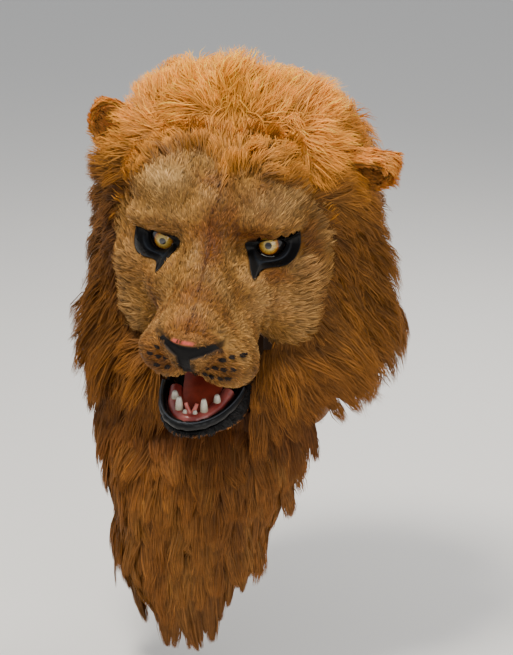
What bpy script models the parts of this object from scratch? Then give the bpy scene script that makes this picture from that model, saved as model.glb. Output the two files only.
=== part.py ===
"""Lion mask: a full-head mask of a snarling lion with a deep fur mane.

The mask faces -Y, +X is the viewer's right, +Z is up, in metres.
The origin is where the inside of the crown sits on the wearer's head.
"""

import math
from collections import namedtuple

import bmesh
import bpy
import numpy as np
from mathutils import Vector

# Driving dimensions
GAP = 0.0003
HOOD_WALL = 0.005
HOOD_ROUNDING = 3.0
DOME_BASE_Z = -0.060
HOOD_TOP_Z = 0.0055
DOME_STRAIGHT_SHARE = 0.98
HOOD_HEART = Vector((0.0, 0.0, -0.150))
HOOD_TURNS = 28
HOOD_LEVELS = (0, 0.25, 0.5, 0.75, 1, 1.2, 1.4, 1.58, 1.75, 1.9)
OPENING_STEPS = 44
OPENING_SILL_X = 0.050
OPENING_SILL_Z = -0.234
OPENING_START_Y = -0.150
OPENING_DEPTH = 0.135
HAIR_TOP_Z = 0.060
HAIR_ROUNDING = 2.3
HAIR_DOME = 0.75
HAIR_STANDOFF = 0.0054
FACE_WALL = 0.004
FACE_HEART = Vector((0.0, -0.020, -0.130))
FACE_COLUMNS = 24
FACE_ROWS = 18
FACE_CENTRE_Z = -0.125
MELT = 0.015
CAST_NEAR = 0.030
CAST_FAR = 0.260
CAST_STEPS = 93
CAST_HALVINGS = 14
EYE_RADIUS = 0.0185
EYE_CENTRE = Vector((0.0575, -0.0815, -0.106))
EYE_TURN = math.radians(16)
EYE_SEGMENTS = 14
EYE_RINGS = 8
EYE_HOLE_BACK = 0.03
EYE_HOLE_RUN = 0.09
LID_WALL = 0.003
LID_STEPS = 24
LID_ROWS = (0, 0.3, 0.65, 1)
LID_POINTEDNESS = 1.25
NOSE_DEPTH = 0.007
NOSE_SEAT = 0.0016
NOSE_ROWS = 7
NOSE_COLUMNS = 8
NOSE_TOP_Z = -0.172
NOSE_HEIGHT = 0.046
NOSE_BOW = 0.006
NOSE_AIM_Y = -0.215
NOSE_THIN_EDGE = 0.2
NOSE_SQUARENESS = 3
NOSE_SWELL_START = 0.12
NOSE_SWELL_RUN = 0.80
JAW_WALL = 0.004
JAW_STEPS = 14
JAW_CROWDING = 0.5
RAIL_STEP = 0.02
JAW_ROWS = 7
JAW_FULLNESS = 0.85
JAW_SAG = 0.36
CHIN_SPREAD = 1.04
CHIN_FORWARD = 0.002
UNDER_SPREAD = 0.72
UNDER_REACH = 0.045
UNDER_DROP = 0.004
ROOT_SPREAD = 0.9
LIP_RADIUS = 0.0072
LIP_SEAT = 0.0019
LIP_INSET = 0.002
LIP_TURN = 1.36
LIP_STEPS = 21
TUBE_RESOLUTION = 2
LINER_WALL = 0.002
EAR_WALL = 0.004
EAR_STEPS = 9
EAR_ROOT = -0.55
EAR_TAPER = 2.4
EAR_TIP_HALF = 0.02
EAR_FLATTENING = 0.45
EAR_PRESS_REACH = 0.074
EAR_PRESS_FADE = 0.030
EAR_BARE_REACH = 0.030
PRESSED_HAIR = 0.006
SEAT_FROM = 30
SEAT_TO = 150
SEAT_COLUMNS = 25
SEAT_LOW = 0.55
SEAT_HIGH = 1.75
SEAT_ROWS = 17
GUM_INSET = 0.0150
GUM_LIFT = 0.004
GUM_RADIUS = 0.0058
GUM_TURN = 1.25
GUM_STEPS = 17
TOOTH_SEAT = 0.0008
TOOTH_ROWS = 5
TOOTH_SIDES = 8
TOOTH_NECK = 0.08
TOOTH_POINT = 0.93
TOOTH_TAPER = 2.2
TOOTH_UPRIGHT = 0.85
THROAT_HALF_WIDTH = 0.0225
THROAT_NARROWING = 0.0125
THROAT_TOP_Y = -0.118
THROAT_SLOPE = 0.0705
THROAT_HOLLOW = 0.006
THROAT_TOP_Z = -0.220
THROAT_LOW_Z = -0.2745
THROAT_BEND = 1.4
THROAT_STEPS = 6
LOCK_LENGTH = 0.036
LOCK_TAPER = 0.80
LOCK_BELLY = 0.45
LOCK_SHORTEST = 0.5
FULL_HAIR_DEPTH = 0.03
PANEL_GAP_TURN = 0.005
RIM_CLEARANCE = 0.0085
FRONT_HEM_LEVEL = 0.11
LEFT_HEM_LEVEL = 0.10
RIGHT_HEM_LEVEL = 0.31
BACK_HEM_LEVEL = 0.17
FRONT_EDGE_HAIR = 0.016
FRONT_EDGE_SHARE = 0.45
MANE_TOP_LEVEL = 1.22
SIDE_COLUMNS = 7
SIDE_ROWS = 8
BACK_COLUMNS = 10
BACK_ROWS = 7
CROWN_COLUMNS = 24
CROWN_ROWS = 5
CROWN_TOP_LEVEL = 1.93
CROWN_EDGE_CLEARANCE = 0.01
CROWN_EDGE_RUN = 0.12
JAW_SIDE_SHARE = 0.6
BACK_TURN = math.radians(114)
FLOW_SOURCE = Vector((0.0, -0.120, -0.040))
FLOW_FALL = 0.20
FLOW_DROOP_TOP = 0.10
FLOW_DROOP_GAIN = 0.75

# Level rings of the hood and of the hair mass, lowest first
Ring = namedtuple("Ring", "z x_middle half_width y_widest front back")
HOOD_RINGS = [
    Ring(-0.320, 0.0, 0.108, -0.005, -0.094, 0.112),
    Ring(-0.262, 0.0, 0.111, -0.006, -0.092, 0.110),
    Ring(-0.220, 0.0, 0.120, -0.008, -0.091, 0.110),
    Ring(-0.170, 0.0, 0.126, -0.010, -0.090, 0.112),
    Ring(-0.115, 0.0, 0.130, -0.010, -0.088, 0.114),
    Ring(DOME_BASE_Z, 0.0, 0.128, -0.008, -0.084, 0.114),
]
HAIR_RINGS = [
    Ring(-0.320, -0.010, 0.162, -0.014, -0.120, 0.150),
    Ring(-0.262, -0.008, 0.166, -0.016, -0.116, 0.156),
    Ring(-0.220, -0.006, 0.167, -0.018, -0.112, 0.160),
    Ring(-0.170, -0.005, 0.164, -0.018, -0.108, 0.160),
    Ring(-0.115, -0.004, 0.159, -0.014, -0.104, 0.157),
    Ring(DOME_BASE_Z, -0.003, 0.154, -0.008, -0.102, 0.150),
]

# Lumps melted into the face, each a centre and three radii; x > 0 means one on each side
Lump = namedtuple("Lump", "name x y z wide deep tall")
FACE_LUMPS = [
    Lump("face disc", 0.000, -0.030, -0.112, 0.138, 0.073, 0.128),
    Lump("forehead lobe", 0.050, -0.066, -0.050, 0.048, 0.054, 0.048),
    Lump("brow", 0.054, -0.096, -0.083, 0.042, 0.027, 0.016),
    Lump("cheek bone", 0.078, -0.074, -0.138, 0.038, 0.036, 0.036),
    Lump("jowl", 0.074, -0.070, -0.182, 0.038, 0.040, 0.044),
    Lump("under the eye", 0.038, -0.106, -0.150, 0.034, 0.040, 0.034),
    Lump("upper bridge", 0.000, -0.094, -0.086, 0.028, 0.036, 0.046),
    Lump("muzzle", 0.000, -0.134, -0.190, 0.056, 0.072, 0.040),
    Lump("whisker pad", 0.030, -0.178, -0.205, 0.033, 0.036, 0.027),
    Lump("nose root", 0.000, -0.194, -0.188, 0.028, 0.028, 0.021),
]
BRIDGE_TOP = Vector((0.0, -0.104, -0.096))
BRIDGE_TIP = Vector((0.0, -0.190, -0.180))
BRIDGE_RADIUS = 0.025
BRIDGE_FLATNESS = 0.82
MUZZLE_START_Y = -0.110
MUZZLE_RUN = 0.070
MUZZLE_SHIFT = 0.006
MUZZLE_ROLL = 0.11
SOCKET = Lump("eye socket", 0.057, -0.1400, -0.106, 0.027, 0.020, 0.014)

# Edge of the short fur on the viewer's right, top middle to jowl, and the free lip edge from there
RimPoint = namedtuple("RimPoint", "x z")
RIM = [
    RimPoint(0.000, -0.014),
    RimPoint(0.020, -0.007),
    RimPoint(0.044, -0.008),
    RimPoint(0.066, -0.017),
    RimPoint(0.086, -0.034),
    RimPoint(0.102, -0.058),
    RimPoint(0.113, -0.090),
    RimPoint(0.117, -0.124),
    RimPoint(0.113, -0.148),
    RimPoint(0.099, -0.174),
    RimPoint(0.082, -0.200),
    RimPoint(0.068, -0.222),
]
RIM_CORNER = 4
LipPoint = namedtuple("LipPoint", "x y z")
UPPER_LIP = [
    LipPoint(0.068, -0.088, -0.222),
    LipPoint(0.060, -0.118, -0.221),
    LipPoint(0.056, -0.140, -0.219),
    LipPoint(0.047, -0.163, -0.224),
    LipPoint(0.026, -0.192, -0.227),
    LipPoint(0.009, -0.204, -0.221),
    LipPoint(0.000, -0.206, -0.215),
]

# Eye opening as half-widths and heights about the eye, and the black patch's outline; across > 0
# points away from the nose
Almond = namedtuple("Almond", "inner outer up down tilt")
EYE_SLOT = Almond(0.0165, 0.0165, 0.0050, 0.0125, math.radians(9))
PatchPoint = namedtuple("PatchPoint", "across up")
LID_PATCH = [
    PatchPoint(0.0300, 0.0030),
    PatchPoint(0.0300, 0.0150),
    PatchPoint(0.0275, 0.0185),
    PatchPoint(0.0200, 0.0130),
    PatchPoint(0.0110, 0.0090),
    PatchPoint(-0.0010, 0.0062),
    PatchPoint(-0.0150, 0.0045),
    PatchPoint(-0.0270, 0.0050),
    PatchPoint(-0.0255, -0.0010),
    PatchPoint(-0.0220, -0.0100),
    PatchPoint(-0.0210, -0.0200),
    PatchPoint(-0.0175, -0.0280),
    PatchPoint(-0.0140, -0.0210),
    PatchPoint(-0.0090, -0.0180),
    PatchPoint(0.0020, -0.0178),
    PatchPoint(0.0140, -0.0165),
    PatchPoint(0.0220, -0.0115),
    PatchPoint(0.0275, -0.0040),
]

# Nose leather half-widths from its top, at 0, to its point, at 1
NoseRow = namedtuple("NoseRow", "at half_width")
NOSE_WIDTHS = [NoseRow(0.0, 0.024), NoseRow(0.22, 0.034), NoseRow(0.77, 0.008), NoseRow(1.0, 0.008)]

# Mouth and jaw
JAW_HALF_WIDTH = 0.046
JAW_BACK_Y = -0.115
JAW_REACH = 0.095
JAW_CORNER_Z = -0.229
JAW_FRONT_Z = -0.281
CHIN_Z = -0.291
JAW_HEART = Vector((0.0, -0.125, -0.245))
Tooth = namedtuple("Tooth", "name along width height")
TEETH = [
    Tooth("incisor", 13, 0.0056, 0.0060),
    Tooth("canine", 30, 0.0086, 0.0165),
    Tooth("premolar", 52, 0.0082, 0.0105),
]

# Bib of long fur: lines from the throat to the hem; droop is how much lower the ends hang
BibLine = namedtuple("BibLine", "z left right y_middle y_side droop")
BIB_LINES = [
    BibLine(-0.305, -0.150, 0.110, -0.0952, -0.070, 0.012),
    BibLine(-0.345, -0.150, 0.098, -0.118, -0.066, 0.006),
    BibLine(-0.385, -0.143, 0.085, -0.130, -0.068, 0.000),
    BibLine(-0.425, -0.132, 0.068, -0.134, -0.070, -0.006),
    BibLine(-0.465, -0.121, 0.049, -0.134, -0.080, -0.016),
    BibLine(-0.500, -0.104, 0.031, -0.132, -0.092, -0.028),
    BibLine(-0.526, -0.086, 0.014, -0.128, -0.102, -0.038),
]
BIB_COLUMNS = 9
BIB_ROWS = 8
BIB_WALL = 0.010
BIB_ROUNDING = 3.2
BIB_LOCK_LENGTH = 0.048
BIB_PARTING_X = -0.020
BIB_SPREAD = 1.6
BIB_FORWARD = 0.40

# Ears: where the base sits, where the tip points, and which way the cup looks
Ear = namedtuple("Ear", "side base tip look wide deep seat")
LEFT_EAR = Ear(
    "left", (-0.124, 0.006, -0.008), (-0.162, -0.002, 0.028), (-0.45, -0.88, 0.10), 0.068, 0.032, 0.0046,
)
RIGHT_EAR = Ear(
    "right", (0.118, 0.004, -0.026), (0.172, -0.006, -0.024), (0.12, -0.66, -0.74), 0.060, 0.034, 0.0020,
)
EARS = (LEFT_EAR, RIGHT_EAR)


# Numbers read from the tables

def smooth_column(rows, column, at):
    """One named column of a table at the places `at` of its first column, on a smooth curve."""
    keys = np.array([row[0] for row in rows])
    values = np.array([getattr(row, column) for row in rows])
    slopes = np.gradient(values, keys)
    at = np.clip(at, keys.min(), keys.max())
    if keys[0] > keys[-1]:
        keys, values, slopes = keys[::-1], values[::-1], slopes[::-1]
    cell = np.clip(np.searchsorted(keys, at) - 1, 0, len(keys) - 2)
    width = keys[cell + 1] - keys[cell]
    t = (at - keys[cell]) / width
    return (
        (2 * t**3 - 3 * t**2 + 1) * values[cell]
        + (t**3 - 2 * t**2 + t) * width * slopes[cell]
        + (3 * t**2 - 2 * t**3) * values[cell + 1]
        + (t**3 - t**2) * width * slopes[cell + 1]
    )


def signed_power(value, power):
    """A power that keeps the sign of its base."""
    return np.sign(value) * np.abs(value) ** power


def wrap_point(rings, top_z, rounding, dome, turn, level):
    """Points round the head: turn 0 is the front, level 0 the hem, 1 the dome's base, 2 the crown."""
    turn, level = np.broadcast_arrays(np.asarray(turn, float), np.asarray(level, float))
    low = np.clip(level, 0, 1)
    z = rings[0].z + (rings[-1].z - rings[0].z) * low
    rise = np.clip(level - 1, 0, 1) * math.pi / 2
    shrink = np.cos(rise) ** dome
    half_width = smooth_column(rings, "half_width", z)
    middle = smooth_column(rings, "y_widest", z)
    front = middle - smooth_column(rings, "front", z)
    back = smooth_column(rings, "back", z) - middle
    x_middle = smooth_column(rings, "x_middle", z)
    across = signed_power(np.sin(turn), 2 / rounding)
    along = signed_power(np.cos(turn), 2 / rounding)
    x = x_middle + half_width * shrink * across
    y = middle - np.where(along > 0, front, back) * shrink * along
    z = z + (top_z - DOME_BASE_Z) * np.sin(rise)
    return np.stack([x, y, z], axis=-1)


def hood_point(turn, level):
    """Points of the hood's outer side."""
    return wrap_point(HOOD_RINGS, HOOD_TOP_Z, HOOD_ROUNDING, 1.0, turn, level)


def hood_front(x, z):
    """Depth of the hood's outer side straight in front of (x, z)."""
    rise = np.clip((z - DOME_BASE_Z) / (HOOD_TOP_Z - DOME_BASE_Z), 0, DOME_STRAIGHT_SHARE)
    shrink = np.sqrt(1 - rise**2)
    half_width = smooth_column(HOOD_RINGS, "half_width", z) * shrink
    middle = smooth_column(HOOD_RINGS, "y_widest", z)
    front = middle - smooth_column(HOOD_RINGS, "front", z)
    inside = np.clip(1 - (np.abs(x) / half_width) ** HOOD_ROUNDING, 0, 1)
    return middle - front * shrink * inside ** (1 / HOOD_ROUNDING)


# The sculpted face as lumps melted together

def lump_distance(points, lump):
    """Rough distance outside an ellipsoid, mirrored to both sides."""
    x, y, z = np.abs(points[..., 0]), points[..., 1], points[..., 2]
    away = np.stack([x - lump.x, y - lump.y, z - lump.z], axis=-1)
    radii = np.array([lump.wide, lump.deep, lump.tall])
    scaled = np.linalg.norm(away / radii, axis=-1)
    slope = np.linalg.norm(away / radii**2, axis=-1) + 1e-9
    return scaled * (scaled - 1) / slope


def bridge_distance(points):
    """Distance outside the bar of the nose bridge, flattened from side to side."""
    start = np.array(BRIDGE_TOP)
    run = np.array(BRIDGE_TIP) - start
    away = points - start
    share = np.clip(away @ run / (run @ run), 0, 1)
    off = away - share[..., None] * run
    off[..., 0] *= BRIDGE_FLATNESS
    return np.linalg.norm(off, axis=-1) - BRIDGE_RADIUS


def melt(first, second):
    """The nearer of two distances, rounded where they meet."""
    mix = np.clip(0.5 + 0.5 * (second - first) / MELT, 0, 1)
    return second * (1 - mix) + first * mix - MELT * mix * (1 - mix)


def muzzle_share(y):
    """How far a depth lies along the muzzle: 0 at the cheeks, 1 at the lip."""
    share = np.clip((MUZZLE_START_Y - y) / MUZZLE_RUN, 0, 1)
    return share * share * (3 - 2 * share)


def face_distance(points):
    """Distance outside the sculpted face, whose muzzle hangs a little to the viewer's right."""
    share = muzzle_share(points[..., 1])
    x = points[..., 0] - MUZZLE_SHIFT * share
    points = np.stack([x, points[..., 1], points[..., 2] + MUZZLE_ROLL * x * share], axis=-1)
    near = bridge_distance(points)
    for lump in FACE_LUMPS:
        near = melt(near, lump_distance(points, lump))
    return -melt(-near, lump_distance(points, SOCKET))


def cast(directions):
    """Outermost points of the face along directions from its heart."""
    directions = directions / np.linalg.norm(directions, axis=-1, keepdims=True)
    heart = np.array(FACE_HEART)
    reach = np.linspace(CAST_NEAR, CAST_FAR, CAST_STEPS)
    inside = face_distance(heart + reach[:, None, None, None] * directions) < 0
    last = len(reach) - 1 - np.argmax(inside[::-1], axis=0)
    low = reach[last]
    high = reach[np.minimum(last + 1, len(reach) - 1)]
    for _ in range(CAST_HALVINGS):
        middle = (low + high) / 2
        hit = face_distance(heart + middle[..., None] * directions) < 0
        low = np.where(hit, middle, low)
        high = np.where(hit, high, middle)
    return heart + low[..., None] * directions


# Meshes, materials and modifiers

def clear_scene():
    """An empty scene."""
    for item in list(bpy.data.objects):
        bpy.data.objects.remove(item, do_unlink=True)


def new_collection(name):
    """A collection linked to the scene."""
    collection = bpy.data.collections.new(name)
    bpy.context.scene.collection.children.link(collection)
    return collection


def new_material(name, colour, roughness, metallic=0.0):
    """A Principled material."""
    material = bpy.data.materials.new(name)
    material.use_nodes = True
    shader = material.node_tree.nodes["Principled BSDF"]
    shader.inputs["Base Color"].default_value = (*colour, 1.0)
    shader.inputs["Roughness"].default_value = roughness
    shader.inputs["Metallic"].default_value = metallic
    material.diffuse_color = (*colour, 1.0)
    return material


def new_object(name, mesh, material, collection):
    """An object of its own material in a collection."""
    mesh.materials.append(material)
    item = bpy.data.objects.new(name, mesh)
    collection.objects.link(item)
    return item


def grid_faces(rows, columns, ring):
    """Quads of a grid of points, joined end to end if it is a ring."""
    last = columns if ring else columns - 1
    return [
        (r * columns + c, r * columns + (c + 1) % columns,
         (r + 1) * columns + (c + 1) % columns, (r + 1) * columns + c)
        for r in range(rows - 1)
        for c in range(last)
    ]


def face_out(mesh):
    """Turns a closed mesh's faces outwards."""
    work = bmesh.new()
    work.from_mesh(mesh)
    bmesh.ops.recalc_face_normals(work, faces=work.faces)
    if work.calc_volume(signed=True) < 0:
        bmesh.ops.reverse_faces(work, faces=work.faces)
    work.to_mesh(mesh)
    work.free()


def sheet_mesh(name, grid, heart, ring=False, capped=False):
    """An open surface over a grid of points that faces away from its heart; capped closes its last row."""
    rows, columns = grid.shape[:2]
    faces = grid_faces(rows, columns, ring)
    if capped:
        faces.append(tuple((rows - 1) * columns + c for c in range(columns)))
    mesh = bpy.data.meshes.new(name)
    mesh.from_pydata(grid.reshape(-1, 3).tolist(), [], faces)
    if sum(face.normal.dot(face.center - Vector(heart)) * face.area for face in mesh.polygons) < 0:
        mesh.flip_normals()
    return mesh


def wall_mesh(name, outer, inner, ring=False, capped=False):
    """A closed wall between two grids of points; ring joins the rows' ends, capped closes the last."""
    rows, columns = outer.shape[:2]
    count = rows * columns
    faces = grid_faces(rows, columns, ring)
    faces += [tuple(i + count for i in reversed(face)) for face in faces]
    first = list(range(columns))
    last = [(rows - 1) * columns + c for c in reversed(first)]
    if capped:
        loops = [first]
        faces += [tuple(reversed(last)), tuple(i + count for i in last)]
    elif ring:
        loops = [first, last]
    else:
        right = [r * columns + columns - 1 for r in range(1, rows - 1)]
        left = [r * columns for r in range(rows - 2, 0, -1)]
        loops = [first + right + last + left]
    for loop in loops:
        for here, after in zip(loop, loop[1:] + loop[:1]):
            faces.append((after, here, here + count, after + count))
    mesh = bpy.data.meshes.new(name)
    mesh.from_pydata(np.concatenate([outer, inner]).reshape(-1, 3).tolist(), [], faces)
    face_out(mesh)
    return mesh


def add_wall(item, thickness, offset):
    """Gives an open surface its thickness: offset -1 keeps the surface outside."""
    solid = item.modifiers.new("wall", "SOLIDIFY")
    solid.thickness = thickness
    solid.offset = offset
    solid.use_even_offset = False
    return solid


def add_cut(item, cutter):
    """Cuts a closed cutter out of a piece."""
    cut = item.modifiers.new("cut", "BOOLEAN")
    cut.operation = "DIFFERENCE"
    cut.object = cutter


def prism(name, outline, start, run, collection):
    """A closed prism over an outline of points, used as a cutter."""
    count = len(outline)
    ends = [np.array(point) + np.array(start) for point in outline]
    ends += [point + np.array(run) for point in ends]
    faces = [tuple(range(count)), tuple(range(2 * count - 1, count - 1, -1))]
    faces += [((i + 1) % count, i, i + count, (i + 1) % count + count) for i in range(count)]
    mesh = bpy.data.meshes.new(name)
    mesh.from_pydata([tuple(point) for point in ends], [], faces)
    face_out(mesh)
    item = bpy.data.objects.new(name, mesh)
    item.hide_render = True
    item.display_type = "WIRE"
    collection.objects.link(item)
    return item


def resample(points, count):
    """Points evenly spread along a chain of points."""
    points = np.asarray(points, float)
    steps = np.linalg.norm(np.diff(points, axis=0), axis=1)
    length = np.concatenate([[0], np.cumsum(steps)])
    at = np.linspace(0, length[-1], count)
    return np.stack([np.interp(at, length, points[:, k]) for k in range(points.shape[1])], axis=1)


def rounded(points, passes=2):
    """A chain of points with its corners cut back."""
    points = np.asarray(points, float)
    for _ in range(passes):
        near = points[:-1] * 0.75 + points[1:] * 0.25
        far = points[:-1] * 0.25 + points[1:] * 0.75
        middle = np.stack([near, far], axis=1).reshape(-1, points.shape[1])
        points = np.concatenate([points[:1], middle, points[-1:]])
    return points


def grid_normals(grid):
    """Unit normals of a grid of points."""
    across = np.gradient(grid, axis=1)
    along = np.gradient(grid, axis=0)
    normal = np.cross(across, along)
    return normal / (np.linalg.norm(normal, axis=-1, keepdims=True) + 1e-12)


# Hood

def rim_chain():
    """The fur edge as (x, z), from the viewer's left jowl over the top to the right one."""
    right = [(point.x, point.z) for point in RIM]
    left = [(-x, z) for x, z in reversed(right[1:])]
    return np.array(left + right)


def opening_outline():
    """Outline of the hood's front opening as (x, z), round the face and level below the upper lip."""
    bottom = [(OPENING_SILL_X, OPENING_SILL_Z), (-OPENING_SILL_X, OPENING_SILL_Z)]
    return np.concatenate([resample(rounded(rim_chain()), OPENING_STEPS), bottom])


def build_hood(material, collection, cutters):
    """The hood: a padded wall open below and in front."""
    turns = np.linspace(0, 2 * math.pi, HOOD_TURNS, endpoint=False)
    grid = hood_point(turns[None, :], np.array(HOOD_LEVELS)[:, None])
    mesh = sheet_mesh("hood", grid, HOOD_HEART, ring=True, capped=True)
    hood = new_object("hood", mesh, material, collection)
    add_wall(hood, HOOD_WALL, -1)
    outline = [(x, 0.0, z) for x, z in opening_outline()]
    cutter = prism("face_opening", outline, (0, OPENING_START_Y, 0), (0, OPENING_DEPTH, 0), cutters)
    add_cut(hood, cutter)
    return hood


# Face

def chart(points):
    """Directions from the face's heart as two angles: sideways and upwards."""
    away = np.asarray(points) - np.array(FACE_HEART)
    return np.stack([np.arctan2(away[..., 0], -away[..., 1]), np.arctan2(away[..., 2], -away[..., 1])], -1)


def chart_direction(angles):
    """Directions for a pair of chart angles."""
    return np.stack([np.tan(angles[..., 0]), -np.ones(angles.shape[:-1]), np.tan(angles[..., 1])], -1)


def rim_points(chain):
    """The fur edge seated on the hood's outer side, drawn in by the gap."""
    centre = np.array([0.0, FACE_CENTRE_Z])
    away = chain - centre
    chain = chain - away / np.linalg.norm(away, axis=1, keepdims=True) * 2 * GAP
    depth = hood_front(chain[:, 0], chain[:, 1])
    return np.stack([chain[:, 0], depth, chain[:, 1]], axis=1)


def face_grid(columns, rows):
    """Points of the face's outer side: columns from left to right, rows from top to lip."""
    chain = rim_chain()
    corner = len(RIM) - 1 - RIM_CORNER
    top = resample(rounded(chain[corner:len(chain) - corner]), columns + 1)
    right = resample(rounded(chain[len(chain) - 1 - corner:]), rows + 1)
    right_lip = np.array([(p.x, p.y, p.z) for p in UPPER_LIP])
    left_lip = right_lip[-2::-1] * np.array([-1, 1, 1])
    lip = resample(rounded(np.concatenate([right_lip, left_lip])[::-1]), columns + 1)
    share = muzzle_share(lip[:, 1])
    lip[:, 2] -= MUZZLE_ROLL * lip[:, 0] * share
    lip[:, 0] += MUZZLE_SHIFT * share
    top_rim = rim_points(top)
    right_rim = rim_points(right)
    left_rim = right_rim * np.array([-1, 1, 1])
    up, down, east, west = chart(top_rim), chart(lip), chart(right_rim), chart(left_rim)
    s = np.linspace(0, 1, columns + 1)[None, :, None]
    t = np.linspace(0, 1, rows + 1)[:, None, None]
    blend = (
        (1 - t) * up[None] + t * down[None] + (1 - s) * west[:, None] + s * east[:, None]
        - (1 - t) * ((1 - s) * up[0] + s * up[-1]) - t * ((1 - s) * down[0] + s * down[-1])
    )
    grid = cast(chart_direction(blend))
    grid[0], grid[:, 0], grid[:, -1] = top_rim, left_rim, right_rim
    return grid


def almond(shape, steps, side):
    """An almond outline about the eye as (across, up) pairs; across > 0 points away from the nose."""
    angle = np.linspace(0, 2 * math.pi, steps, endpoint=False)
    across = np.cos(angle)
    width = np.where(across > 0, shape.outer, shape.inner)
    height = np.where(np.sin(angle) > 0, shape.up, shape.down)
    across = width * across
    up = height * signed_power(np.sin(angle), LID_POINTEDNESS)
    turned = across * math.cos(shape.tilt) - up * math.sin(shape.tilt)
    return np.stack([side * turned, across * math.sin(shape.tilt) + up * math.cos(shape.tilt)], axis=1)


def eye_frame(side):
    """Centre of an eye with its sideways, forward and upward directions."""
    centre = np.array([side * EYE_CENTRE.x, EYE_CENTRE.y, EYE_CENTRE.z])
    forward = np.array([side * math.sin(EYE_TURN), -math.cos(EYE_TURN), 0.0])
    sideways = np.array([math.cos(EYE_TURN), side * math.sin(EYE_TURN), 0.0])
    return centre, sideways, forward, np.array([0.0, 0.0, 1.0])


def lid_outline(side, grow):
    """The black patch's outline as points on the eye's frontal plane."""
    centre, sideways, forward, upward = eye_frame(side)
    corners = np.array([(side * point.across, point.up) for point in [*LID_PATCH, LID_PATCH[0]]])
    flat = resample(rounded(corners, 1), LID_STEPS + 1)[:-1]
    flat = flat + grow * flat / np.linalg.norm(flat, axis=1, keepdims=True)
    return centre + flat[:, :1] * sideways + flat[:, 1:] * upward


def build_face(material, collection, cutters):
    """The hollow face with its eye holes."""
    grid = face_grid(FACE_COLUMNS, FACE_ROWS)
    face = new_object("face", sheet_mesh("face", grid, FACE_HEART), material, collection)
    add_wall(face, FACE_WALL, -1)
    for side, word in ((-1, "left"), (1, "right")):
        forward = eye_frame(side)[2]
        start, run = forward * -EYE_HOLE_BACK, forward * EYE_HOLE_RUN
        cutter = prism(f"eye_hole_{word}", lid_outline(side, 0.0), start, run, cutters)
        add_cut(face, cutter)
    return face


def build_eyelid(side, word, material, collection):
    """A black rubber lid that runs from the eyeball out to the short fur."""
    centre, sideways, forward, upward = eye_frame(side)
    slot = almond(EYE_SLOT, LID_STEPS, side)
    roof = EYE_RADIUS + LID_WALL
    rise = np.sqrt(roof**2 - np.sum(slot**2, axis=1))
    inner = centre + slot[:, :1] * sideways + slot[:, 1:] * upward + rise[:, None] * forward
    rim = lid_outline(side, -2 * GAP)
    heart = np.array(FACE_HEART)
    on_face = cast((rim - heart)[None])[0]
    depth = (on_face - rim) @ forward
    outer = rim + depth[:, None] * forward
    for _ in range(3):
        on_face = cast((outer - heart)[None])[0]
        depth = (on_face - rim) @ forward
        outer = rim + depth[:, None] * forward
    share = np.array(LID_ROWS)[:, None, None]
    grid = inner * (1 - share) + outer * share
    out = (grid - centre) @ forward
    beside = np.linalg.norm(grid - centre - out[..., None] * forward, axis=-1)
    clear = np.sqrt(np.clip(roof**2 - beside**2, 0, None))
    grid += np.clip(clear - out, 0, None)[..., None] * forward * (beside < roof)[..., None]
    mesh = wall_mesh(f"eyelid_{word}", grid, grid - LID_WALL * forward, ring=True)
    return new_object(f"eyelid_{word}", mesh, material, collection)


def build_eye(side, word, material, collection):
    """A domed eye."""
    centre, _, forward, _ = eye_frame(side)
    work = bmesh.new()
    bmesh.ops.create_uvsphere(work, u_segments=EYE_SEGMENTS, v_segments=EYE_RINGS, radius=EYE_RADIUS)
    mesh = bpy.data.meshes.new(f"eye_{word}")
    work.to_mesh(mesh)
    work.free()
    mesh.shade_smooth()
    eye = new_object(f"eye_{word}", mesh, material, collection)
    eye.location = centre
    eye.rotation_euler = Vector(forward).to_track_quat("Z", "Y").to_euler()
    return eye


def build_nose(material, collection):
    """The bare nose leather, a pad that lies on the muzzle's end."""
    t = np.linspace(0, 1, NOSE_ROWS + 1)[:, None]
    s = np.linspace(-1, 1, NOSE_COLUMNS + 1)[None, :]
    half = np.interp(t, [row.at for row in NOSE_WIDTHS], [row.half_width for row in NOSE_WIDTHS])
    z = NOSE_TOP_Z - NOSE_HEIGHT * t - NOSE_BOW * s**2 * (1 - t)
    x = s * half
    target = np.stack(np.broadcast_arrays(x + MUZZLE_SHIFT, NOSE_AIM_Y, z - MUZZLE_ROLL * x), axis=-1)
    base = cast(target - np.array(FACE_HEART))
    normal = grid_normals(base)
    if normal[NOSE_ROWS // 2, NOSE_COLUMNS // 2, 1] > 0:
        normal = -normal
    down = np.sin(math.pi * (NOSE_SWELL_START + NOSE_SWELL_RUN * t))
    swell = np.clip(1 - np.abs(s) ** NOSE_SQUARENESS, NOSE_THIN_EDGE, 1) * np.clip(down, NOSE_THIN_EDGE, 1)
    inner = base + normal * NOSE_SEAT
    outer = inner + normal * (NOSE_DEPTH * swell)[..., None]
    return new_object("nose", wall_mesh("nose", outer, inner), material, collection)


# Mouth

def jaw_edge(angle, shrink=0.0):
    """The jaw's upper edge: angle 0 is the front, a quarter turn the mouth corner."""
    width = JAW_HALF_WIDTH - shrink
    reach = JAW_REACH - shrink
    x = width * np.sin(angle)
    y = JAW_BACK_Y - reach * signed_power(np.cos(angle), JAW_FULLNESS)
    z = JAW_CORNER_Z + (JAW_FRONT_Z - JAW_CORNER_Z) * np.cos(angle) ** JAW_SAG
    return np.stack([x, y, z], axis=-1)


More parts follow.
